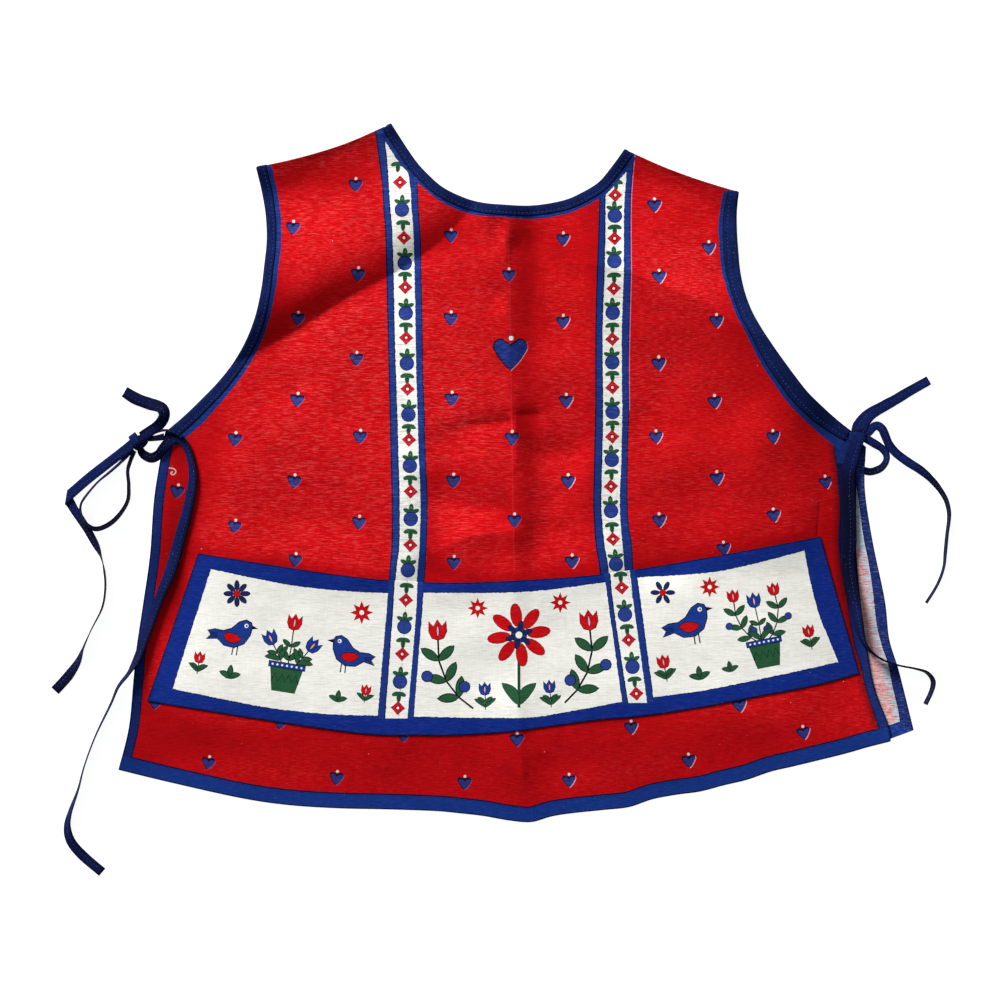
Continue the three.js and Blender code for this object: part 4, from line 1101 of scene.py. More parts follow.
def figures(band, at_heights):
    """The small figures down the middle of a band."""
    heights, _, left, right, _ = np.array(band[::-1], float).T
    made = []
    for k, y in enumerate(at_heights):
        x = np.interp(y, heights, (left + right) / 2)
        made += placed(
            FIGURES[k % len(FIGURES)](), x + (FIGURE_SHIFT if x < 0 else 0), y, float(print_turn(x, y))
        )
    return made


def edge_prints(side_lines, hem_line, bound_lines):
    """The blue border of the cloth: wide at the hem, narrow at the sides and bindings, and a painted shadow
    along each binding's inner edge.
    """
    made = []
    for line, inner in side_lines:
        made.append((between(line, moved(inner, -0.9)), DEEP_BLUE))
    made.append((strip_between(hem_line, 0, -BOTTOM_HEM - 1.2), DEEP_BLUE))
    for line, inner in side_lines:
        made.append((between(line, ragged(inner)), SIDE_BLUE))
        made.append((strip_between(line, 0, -1.1), DEEP_BLUE))
    made.append((strip_between(hem_line, 0, -BOTTOM_HEM), BLUE))
    made.append((strip_between(hem_line, 0, -0.9), DEEP_BLUE))
    for line, low, high in bound_lines:
        inner = ragged(moved_by(line, high), 1.4, 0.35)
        made.append((between(line, inner), STRIPE_BLUE))
        # painted shadow: dark blue out to just beyond the binding's width
        made.append((between(line, moved_by(line, np.array(low) + 0.8)), DEEP_BLUE))
    return made


# How far in from each bound edge the blue stripe beside the binding ends.
STRIPES = [
    (neck, NECK_WIDTHS, [12.8, 12.3, 10.8, 12.0, 10.3, 11.8, 11.8, 11.8, 12.8]),
    (left_armhole, LEFT_WIDTHS, [15, 15.5, 13.2, 12.3, 12.0, 12.3, 12.6, 13.0, 13.2]),
    (right_armhole, RIGHT_WIDTHS, [12.8, 16.3, 16.3, 13.8, 13.8, 17.8, 19.0, 19.5, 19.5])
]
# The inner edge of the border down the front's right side, and of the back's.
RIGHT_BORDER = [
    (301, 54), (301, 45), (303.6, 27), (304.7, 13.5), (306, 0), (306, -18), (305.1, -36), (306.5, -54),
    (309.2, -72), (313.2, -93), (319.2, -130), (323, -142), (327, -158), (330, -170), (334, -183),
    (338.5, -197), (342, -206)
]
BACK_BORDER = [
    (313, 50), (320, 20), (324, -5), (328.2, -36), (331.6, -52), (335.4, -76), (337.6, -94), (339.9, -113),
    (344.6, -132), (349.4, -146), (354.3, -169.5), (358.8, -188), (361, -203)
]
BACK_TINTED = [
    (290, 50), (300, -34), (320, -41), (326.6, -56), (328.4, -75), (332.1, -93), (333.9, -111), (337.6, -130),
    (343, -148), (346.8, -166), (352.3, -185), (358.5, -205)
]
NECK_POINT_PATCHES = [
    [(-113, 345), (-98, 345), (-80, 305), (-84, 296), (-104, 322), (-111, 326)],
    [(124, 322), (124, 312), (113, 296), (100, 285), (92, 284), (98, 310), (112, 330)]
]

# Painted shade on the front's right border between these two heights, and its colour.
SHADED_BORDER = (34, -50)
SHADED_BLUE = ink(12, 20, 78)
# Painted shade beside the shoulder seams and the right border: how far, and the colour.
SHOULDER_SHADES = [(4.6, ink(180, 7, 16)), (2.2, ink(160, 6, 14))]
BORDER_SHADES = [(6.8, ink(176, 7, 16)), (4.4, ink(152, 6, 14)), (2.2, ink(126, 5, 12))]
LINT_CURL = [
    (-299.6, 27.1), (-297.3, 28.6), (-293.8, 28.3), (-291.3, 26.3), (-292, 23.7), (-294.2, 22.8),
    (-295.7, 24.3), (-293.8, 25.6)
]
LINT_DOTS = [
    (308.8, -163.2, 0.6), (260.9, -181.9, 0.5), (184, -57.6, 0.7), (-268, -44, 0.5), (-118, -228, 0.4),
    (40, -226, 0.5), (230, 120, 0.4), (-150, 232, 0.4)
]
LINT_PALE = ink(222, 150, 150)
# Painted shade along a narrow crease, and its colour.
CREASE_SHADE_LINE = [(286.3, -1), (285.2, -16), (284, -32)]
CREASE_SHADE_TONE = ink(158, 5, 14)
LINT = ink(214, 200, 202)
BAND_GLINT = 70  # a slip of the print beside the right band, down to here
GLINT_TONE = ink(206, 112, 156)
# The middle crease is rubbed pale along its top.
CREST_ROWS = [(7, 250), (8.5, 200), (9, 150), (10, 100), (11, 40), (12, -20), (13, -66)]
CREST_TONE = ink(203, 27, 37)


# The front's print, with painted shade beside the shoulder seams, the right border and the bindings and along
# a crease.
def front_print_and_shade():
    made = []
    for line in shoulder_lines:
        for reach, tone in SHOULDER_SHADES:
            made.append((strip_between(line[1:-1], 0, -reach), tone))
    made.append((stroke(smooth(CREST_ROWS, 5), 1.2), CREST_TONE))
    for patch in NECK_POINT_PATCHES:
        made.append((np.array(patch), BLUE))
    made += band_prints(LEFT_BAND) + band_prints(RIGHT_BAND)
    made += figures(LEFT_BAND, LEFT_BAND_FIGURES) + figures(RIGHT_BAND, RIGHT_BAND_FIGURES)
    for x, y in SMALL_HEARTS:
        gap = PINK if x > 30 else ink(150, 72, 122)
        made += placed(small_heart(gap), x, y, float(print_turn(x, y)), float(rng.uniform(0.93, 0.99)))
    made += placed(large_heart(), *BIG_HEART, 0, 0.95)
    made.append((stroke(CREASE_SHADE_LINE, 1.8), CREASE_SHADE_TONE))
    made += [(disc(size, x, y, 7), LINT_PALE) for x, y, size in LINT_DOTS]
    made.append((stroke(smooth(LINT_CURL, 0.6), 1.1), LINT))
    beside = np.array([(row[4] + 0.4, row[0]) for row in RIGHT_BAND if row[0] > BAND_GLINT])
    made.append((stroke(smooth(beside, 4), 0.8), GLINT_TONE))
    right_border = smooth(RIGHT_BORDER)
    for reach, tone in BORDER_SHADES:
        made.append((strip_between(right_border, 0, -reach), tone))
    left_border = moved(left_side, -SIDE_HEM)
    made += edge_prints([(right_side, right_border), (left_side, left_border)], hem, STRIPES)
    # painted shade on part of the right border
    top, foot = SHADED_BORDER
    outer, inner = (line[(line[:, 1] < top) & (line[:, 1] > foot)] for line in (right_side, right_border))
    made.append((between(outer, inner), SHADED_BLUE))
    return made


BESIDE_CREST = (1.6, -1.6, 4.5)


def crest_lines():
    """Lines on and beside the creases, so that the mesh bends where the cloth does."""
    sharp = [drop[0] for drop in DROPS] + [crease[0] for crease in CREASES if crease[4] < 1.5]
    middles = [smooth(line, 3.5) for line in sharp]
    return middles + [moved(line, d) for d in BESIDE_CREST for line in middles]


def front_under(points):
    return front_top(points) - CLOTH - hem_depth(points)


def hem_depth(points):
    """The turned hem makes the edge twice as thick."""
    sides = closest(points, [right_side, left_side])
    low = nearest(points, hem)[0]
    return 0.45 * np.maximum(
        1 - eased(sides, SIDE_HEM - 1, SIDE_HEM + 1), 1 - eased(low, BOTTOM_HEM - 1, BOTTOM_HEM + 1)
    )


front_cloth = sheet_object(
    "front_cloth", front_outline, front_top, front_under, front_print_and_shade(), [], crest_lines(), (GRID_STEP, 8),
    (RED, WRONG_RED), CLOTH_FINISH
)
# Painted light and shade on the red, in patches: x, y, how far along and across, the turn
# in degrees and how much.
PAINTED_LIGHT_PATCHES = [
    (-316, -60, 120, 26, 84, -0.75), (-330, -190, 60, 40, 60, -0.3), (-300, 30, 40, 18, 80, -0.5),
    (300, 30, 110, 34, 92, -0.25), (250, 95, 90, 18, -42, -0.35), (-206, 190, 70, 16, 86, -0.35),
    (-180, 250, 60, 30, 10, 0.2), (162, 206, 62, 30, -28, 0.75), (-150, 160, 60, 16, 30, 0.3),
    (-130, 110, 90, 56, 0, 0.2), (140, 98, 60, 60, 0, 0.28), (-320, -204, 60, 22, 10, -0.9),
    (-222, 146, 44, 13, 30, -1.2), (-160, 180, 50, 13, 30, -1.1), (-84, 222, 46, 12, 38, -1.0),
    (-206, 186, 20, 16, 30, -0.8), (-136, 290, 40, 12, 14, -0.9), (-190, 284, 30, 12, 14, -0.7),
    (-46, 236, 26, 14, 30, -0.9), (24, 206, 60, 14, 92, -0.8), (24, 110, 120, 10, 90, -0.45),
    (88, 220, 50, 12, 90, -0.9), (100, 250, 40, 20, -20, -0.5), (214, 156, 30, 14, -50, -0.8),
    (210, 240, 40, 12, 90, -0.6), (-288, -30, 70, 12, 84, -1.2), (-262, 40, 60, 16, 80, -0.9),
    (300, -70, 60, 16, 84, -1.2), (320, -110, 40, 14, 80, -0.8), (-68, 20, 12, 10, 0, -0.5),
    (-44, 18, 26, 10, 0, -0.6), (-40, 112, 20, 40, 0, 0.35), (-40, 70, 24, 12, 0, 0.4),
    (-60, 60, 20, 10, 0, -0.2), (20, 70, 14, 14, 0, -0.7), (85, 20, 70, 9, 90, -0.4),
    (176, 70, 30, 20, 0, -0.3), (-200, -246, 60, 12, -4, 0.45), (100, -246, 60, 12, 12, 0.45),
    (-68, -40, 30, 12, 90, -0.9), (-56, -62, 26, 9, 0, -1.2), (9, -9, 14, 14, 0, -1.0),
    (9, -38, 16, 12, 0, -0.4), (63, 225, 30, 24, 0, -0.6), (-300, -198, 60, 20, -8, -0.4),
    (-200, -60, 20, 12, 0, -0.5)
]
# Shade deeper than the darkest dye, beside ties and in the deepest folds.
SHADE_PATCHES = [
    (-289, -84, 34, 10, 84, -0.95), (-304, -57, 46, 11, 80, -0.45), (-286, 42, 12, 9, 84, -0.8),
    (307, -80, 30, 9, 84, -0.5), (-206, 180, 16, 11, 30, -0.3)
]
POCKET_SHADE = (-0.9, 9.0)  # beside the pocket strip's top edge, and how far
# The level near the hem, which is painted shade, then the level at the left and at the right: lighter, with
# more white threads, at the left.
HEM_SHADE = 0.4
TONE_LEFT = 1.36
TONE_RIGHT = 0.92


def with_patches(value, x, y, patches):
    for px, py, long, wide, turn, amount in patches:
        c, s = turned(turn)
        u, v = (x - px) * c + (y - py) * s, (y - py) * c - (x - px) * s
        value = value + amount * np.exp(-((u / long) ** 2) - (v / wide) ** 2)
    return value


# Painted light and shade over the front: a level from left to right, painted shade towards the hem, patches
# of painted light and shade, and painted shade beside the pocket's top edge; the level also sets how many
# white threads show.
def wear_and_painted_light_at(points):
    x, y = points.T
    value = TONE_LEFT + (TONE_RIGHT - TONE_LEFT) * eased(x, -120, 150)
    value = value + (HEM_SHADE - value) * (1 - eased(y + abs(x) * 0.11, -190, -160))
    value = with_patches(value, x, y, PAINTED_LIGHT_PATCHES)
    value = value + POCKET_SHADE[0] * bell(nearest(points, pocket_top)[0], POCKET_SHADE[1])
    return np.maximum(with_patches(np.clip(value, 0, 2), x, y, SHADE_PATCHES), -1)


places = np.array([v.co[:2] for v in front_cloth.data.vertices]) / MM
mark(front_cloth.data, "wear_and_painted_light", wear_and_painted_light_at(places))


# ---- back panel: its inside is up, so its hems lie on top

FLECKS = 420  # red that shows through to the wrong side
FLECK_TONES = [ink(204, 104, 108), ink(222, 214, 214), ink(214, 136, 138)]


def back_prints_inside():
    hem_line = spaced(back_hem, 3)
    border = smooth(BACK_BORDER)
    tinted = ragged(smooth(BACK_TINTED), 1.5, 0.6)
    flecks = []
    while len(flecks) < FLECKS:
        y = rng.uniform(-204, -44)
        right = np.interp(-y, -tinted[:, 1], tinted[:, 0])
        x = rng.uniform(right - 16, right + 5)
        long, tone = rng.uniform(1.6, 6.0), FLECK_TONES[int(rng.integers(0, 3))]
        flecks.append((stroke([(x, y), (x + long, y + 0.1)], rng.uniform(0.4, 0.75)), tone))
    return [
        (between(back_right_side, tinted), WRONG_BLUE), *flecks,
        (strip_between(hem_line, 0, -BOTTOM_HEM), WRONG_BLUE),
        (between(back_right_side, moved(border, -0.8)), DEEP_BLUE),
        (strip_between(hem_line, 0, -11.5), DEEP_BLUE), (strip_between(hem_line, 0, -10.6), BLUE),
        (between(back_right_side, border), SIDE_BLUE), (strip_between(back_right_side, 0, -0.9), DEEP_BLUE)
    ]


def back_prints_outside():
    made = []
    for rows in (LEFT_BAND, RIGHT_BAND):
        rows = [row for row in rows if row[0] > -50] + [(-235, *(np.array(rows[-1][1:]) + 3))]
        made += band_prints(rows, 6)
    for x, y in SMALL_HEARTS:
        made += placed(small_heart(PINK)[:3], x, y, float(print_turn(x, y)))
    made += edge_prints(
        [(line, moved(line, -SIDE_HEM)) for line in (back_right_side, back_left_side)], back_hem, []
    )
    return made


def back_hem_rise(points):
    sides = nearest(points, back_right_side)[0]
    low = nearest(points, back_hem)[0]
    return 0.4 * np.maximum(1 - eased(sides, SIDE_HEM - 0.8, SIDE_HEM + 0.6), 1 - eased(low, 9.8, 11.2))


def back_inside(points):
    return back_top(np.asarray(points, float)) + back_hem_rise(points)


def back_outside(points):
    return back_top(np.asarray(points, float)) - CLOTH


back_cloth = sheet_object(
    "back_cloth", back_outline, back_inside, back_outside, back_prints_inside(), back_prints_outside(),
    [moved(back_right_side, -d) for d in (1.2, 7.4, 8.8)], (8, 9), (WRONG_RED, RED), INSIDE_FINISH
)
mark(back_cloth.data, "wear_and_painted_light", PLAIN_DYE)


# ---- pocket strip

pocket_left = spaced([pocket_bottom[-1], pocket_top[0]], EDGE_STEP)
pocket_right = spaced([pocket_top[-1], pocket_bottom[0]], EDGE_STEP)
pocket_outline = np.vstack(
    [edge[:-1] for edge in (pocket_top, pocket_right, pocket_bottom, pocket_left)]
)[::-1]

# The pale grounds of the three pockets, by their corners, clockwise from the upper left.
GROUNDS = {
    "left": [(-259.4, -62), (-190, -76), (-142, -81.4), (-100.3, -83.6), (-109.8, -193.5), (-158.4, -191.7),
        (-213, -185.4), (-294, -169.4)],
    "middle": [(-68.4, -83.2), (22, -82.4), (94.5, -73.8), (109.5, -180.9), (60, -190), (18.6, -195.2),
        (-77.4, -194.4)],
    "right": [(123.3, -69.6), (196.6, -63.8), (273, -45.5), (279.5, -77), (286.5, -103), (295.8, -126),
        (304, -145.4), (196.2, -168.3), (137.7, -177)]
}


def ground_outline(corners, sharp):
    """A pale ground with an uneven printed edge, smooth between its sharp corners."""
    corners = np.array(corners, float)
    pieces = []
    marks = sharp + [len(corners)]
    closed = ended(corners)
    for a, b in zip(marks[:-1], marks[1:]):
        pieces.append(ragged(smooth(closed[a:b + 1], 3), 1.5, 0.3)[:-1])
    return np.vstack(pieces)


def motifs_left():
    return (
        placed(tulip_plant(24, RED), -190, -147, -9, 1.35)
        + placed(tulip_plant(15, BLUE), -196, -146, 24, 1.3)
        + placed(tulip_plant(15, BLUE), -184, -149, -42, 1.3)
        + placed(flower_pot(), -193, -161, -9, 1.45)
        + placed(sitting_bird(1), -240, -123, -9, 1.75)
        + placed(sitting_bird(-1), -135, -140, -9, 1.75)
        + placed(rosette(12, 8, ink(28, 34, 84), RED), -236, -84, 0)
        + placed(folk_star(10), -124, -101, 0)
        + placed(sprout(), -243, -160, -9, 1.5)
        + placed(sprout(), -146, -181, -9, 1.3)
        + placed(tulip_plant(11, RED), -272, -156, -9, 1.0)
        + placed(tulip_plant(9, RED), -122, -182, -9, 0.9)
    )


def motifs_middle():
    return (
        [(stroke([(17, -186), (17, -140)], 2.6), BLACK), (stroke([(17, -186), (17, -140)], 1.5), GREEN)]
        + placed(
            [*outlined(leaf(25, 9, 0, 0, 52, 2.4), GREEN), *outlined(leaf(25, 9, 0, 0, 128, -2.4), GREEN)],
            17,
            -184,
        )
        + placed(rosette(29, 8, RED, BLUE), 17, -121, 8)
        + placed(rosette(13, 6, ink(28, 34, 84), WHITE), 17, -121, 20)
        + placed(berry_branch(-1), -24, -187, 2, 2.1)
        + placed(berry_branch(1), 58, -182, 6, 2.1)
        + placed(tulip_plant(13, BLUE), -13, -188, 2, 1.1)
        + placed(tulip_plant(13, BLUE), 46, -186, 5, 1.1)
        + placed(folk_star(9), -20, -97, 0)
        + placed(folk_star(9), 54, -92, 0)
    )


def motifs_right():
    return (
        placed(berry_branch(1), 238, -129, 14, 1.35)
        + placed(berry_branch(-1), 234, -129, 8, 1.35)
        + placed(tulip_plant(27, BLUE), 235, -128, 11, 1.25)
        + placed(flower_pot(), 239, -139, 11, 1.4)
        + placed(sitting_bird(1), 170, -113, 11, 1.9)
        + placed(rosette(11, 6, ink(28, 34, 84), RED), 146, -83, 0)
        + placed(folk_star(9), 188, -78, 0)
        + placed(tulip_plant(12, RED), 150, -163, 11, 1.15)
        + placed(sprout(), 180, -161, 11, 1.5)
        + placed(tulip_plant(12, RED), 280, -134, 11, 1.05)
        + placed(sprout(), 207, -154, 11, 1.2)
    )


def pocket_prints():
    made = []
    made.append((grown(pocket_outline, -0.9), BORDER_BLUE))
    for rows in (POCKET_LEFT_BAND, POCKET_RIGHT_BAND):
        made += band_prints(rows)[2:]
    for name, sharp in (("left", [0, 3, 4, 7]), ("middle", [0, 2, 3, 6]), ("right", [0, 2, 6, 8])):
        shape = ground_outline(GROUNDS[name], sharp)
        made.append((grown(shape, 0.5), DEEP_BLUE))
        made.append((shape, LINEN))
    made += figures(POCKET_LEFT_BAND, POCKET_LEFT_FIGURES) + figures(POCKET_RIGHT_BAND, POCKET_RIGHT_FIGURES)
    made += motifs_left() + motifs_middle() + motifs_right()
    return made


def pocket_over(points):
    return pocket_under(points) + CLOTH


pocket_cloth = sheet_object(
    "pocket_cloth", pocket_outline, pocket_over, pocket_under, pocket_prints(), [], [],
    (GRID_STEP, PLAIN_STEP), (DEEP_BLUE, WRONG_LINEN), LINEN_FINISH
)
mark(pocket_cloth.data, "wear_and_painted_light", PLAIN_DYE)


# ---- bindings

# The folded tape's section: how far in from the cloth's edge, as a share of its width,
# and how far out from the middle of the cloth, in tape thicknesses beyond it.
TAPE_SECTION = [
    (1.0, 0.05), (1.0, 0.34), (0.95, 0.56), (0.84, 0.66), (0.76, 0.6), (0.71, 0.42), (0.66, 0.62),
    (0.48, 0.92), (0.22, 1.05), (0.06, 0.95)
]


def wrap_section(width):
    """Corners of the tape's closed section, as distance inwards and outwards."""
    within = CLOTH / 2 + ROOM
    over = [(share * width, within + out * TAPE) for share, out in TAPE_SECTION]
    turn = within + 0.55 * TAPE
    edge = [(-0.45, turn * 0.72), (-0.72, 0.0), (-0.45, -turn * 0.72)]
    lining = [(0.3, within), (0.5 * width, within), (0.97 * width, within)]
    under, inner = [[(a, -n) for a, n in side] for side in (over[::-1], lining)]
    return np.array(over + edge + under + inner + [(0.0, 0.0)] + lining)


def mid_front(points):
    return front_top(points) - CLOTH / 2


def mid_back(points):
    return back_top(np.asarray(points, float)) - CLOTH / 2


def inward(line):
    along = directions(line)
    return np.stack([along[:, 1], -along[:, 0]], 1)


def stations_on(line, widths, height, face):
    """Stations of a tape along one layer's edge: place, inward direction and width."""
    share = np.linspace(0, 1, len(line))
    wide = np.interp(share, np.linspace(0, 1, len(widths)), widths)
    return [(p, a, w, height, face, None) for p, a, w in zip(line, inward(line), wide)]


def tape_object(name, stations, closed):
    """The tape swept along its stations, each section lying on the cloth."""
    rings = []
    for place, into, width, height, face, turn in stations:
        section = wrap_section(width)
        flat = place + section[:, :1] * into
        rings.append((flat, section[:, 1], height, face, turn))
    count = len(rings[0][0])
    flat_all = np.vstack([ring[0] for ring in rings])
    z_front = mid_front(flat_all).reshape(-1, count)
    z_back = mid_back(flat_all).reshape(-1, count)
    vertices = []
    for i, (flat, out, height, face, turn) in enumerate(rings):
        if turn is None:
            z = (z_front[i] if height == "front" else z_back[i]) + face * out
            vertices.append(np.c_[flat, z])
        else:
            direction, angle = turn
            middle = (z_front[i] + z_back[i]) / 2
            reach = (z_front[i] - z_back[i]) / 2
            z = middle + np.cos(angle) * (reach + out)
            away = np.sin(angle) * (0.12 * reach + out)
            vertices.append(np.c_[flat + away[:, None] * direction, z])
    vertices = np.vstack(vertices)
    polygons = ring_faces(len(rings), count, closed)
    made = mesh_object(name, vertices, polygons, TAPE_FINISH)
    # painted shade: the tape darker round its folded edge and along its inner edge
    depth = [0.9 if -0.8 < a < 0.4 else 0.75 if a > 0.97 * 9 else 0.1 for a, _ in wrap_section(9)]
    mark(made.data, "fold", np.tile(depth, len(rings)))
    return made


def ring_faces(rings, count, closed):
    faces = []
    for i in range(rings if closed else rings - 1):
        a, b = i * count, ((i + 1) % rings) * count
        for k in range(count):
            n = (k + 1) % count
            faces.append((a + k, b + k, b + n, a + n))
    if not closed:
        faces.append(tuple(range(count)))
        faces.append(tuple((rings - 1) * count + k for k in range(count - 1, -1, -1)))
    return faces


def facing_out(made):
    """Turn the faces outwards."""
    mesh = made.data
    work = bmesh.new()
    work.from_mesh(mesh)
    bmesh.ops.recalc_face_normals(work, faces=work.faces)
    work.to_mesh(mesh)
    work.free()
    return made


TURN_STEPS = 7


def shoulder_turn(front_line, back_line, at_end, width):
    """Stations of the tape's turn over a shoulder, from one layer's edge to the other's."""
    end = -1 if at_end else 0
    out = directions(front_line)[end] * (1 if at_end else -1)
    start, run, into = front_line[end], back_line[end] - front_line[end], inward(front_line)[end]
    return [
        (start + run * k / TURN_STEPS, into, width, None, 0, (out, math.pi * k / TURN_STEPS))
        for k in range(1, TURN_STEPS)
    ]


neck_stations = (
    stations_on(neck, NECK_WIDTHS, "front", 1)
    + shoulder_turn(neck, back_neck, True, NECK_WIDTHS[-1])
    + stations_on(back_neck, NECK_WIDTHS, "back", -1)[::-1]
    + shoulder_turn(neck, back_neck, False, NECK_WIDTHS[0])[::-1]
)
right_stations = (
    stations_on(right_armhole, RIGHT_WIDTHS, "front", 1)[::-1]
    + shoulder_turn(right_armhole, back_right_armhole, False, RIGHT_WIDTHS[0])
    + stations_on(back_right_armhole, RIGHT_WIDTHS, "back", -1)
)
left_stations = (
    stations_on(left_armhole, LEFT_WIDTHS, "front", 1)
    + shoulder_turn(left_armhole, back_left_armhole, True, LEFT_WIDTHS[-1])
    + stations_on(back_left_armhole, LEFT_WIDTHS, "back", -1)[::-1]
)
neck_tape = facing_out(tape_object("neck_tape", neck_stations, True))
right_tape = facing_out(tape_object("right_armhole_tape", right_stations, False))
left_tape = facing_out(tape_object("left_armhole_tape", left_stations, False))


# ---- ties

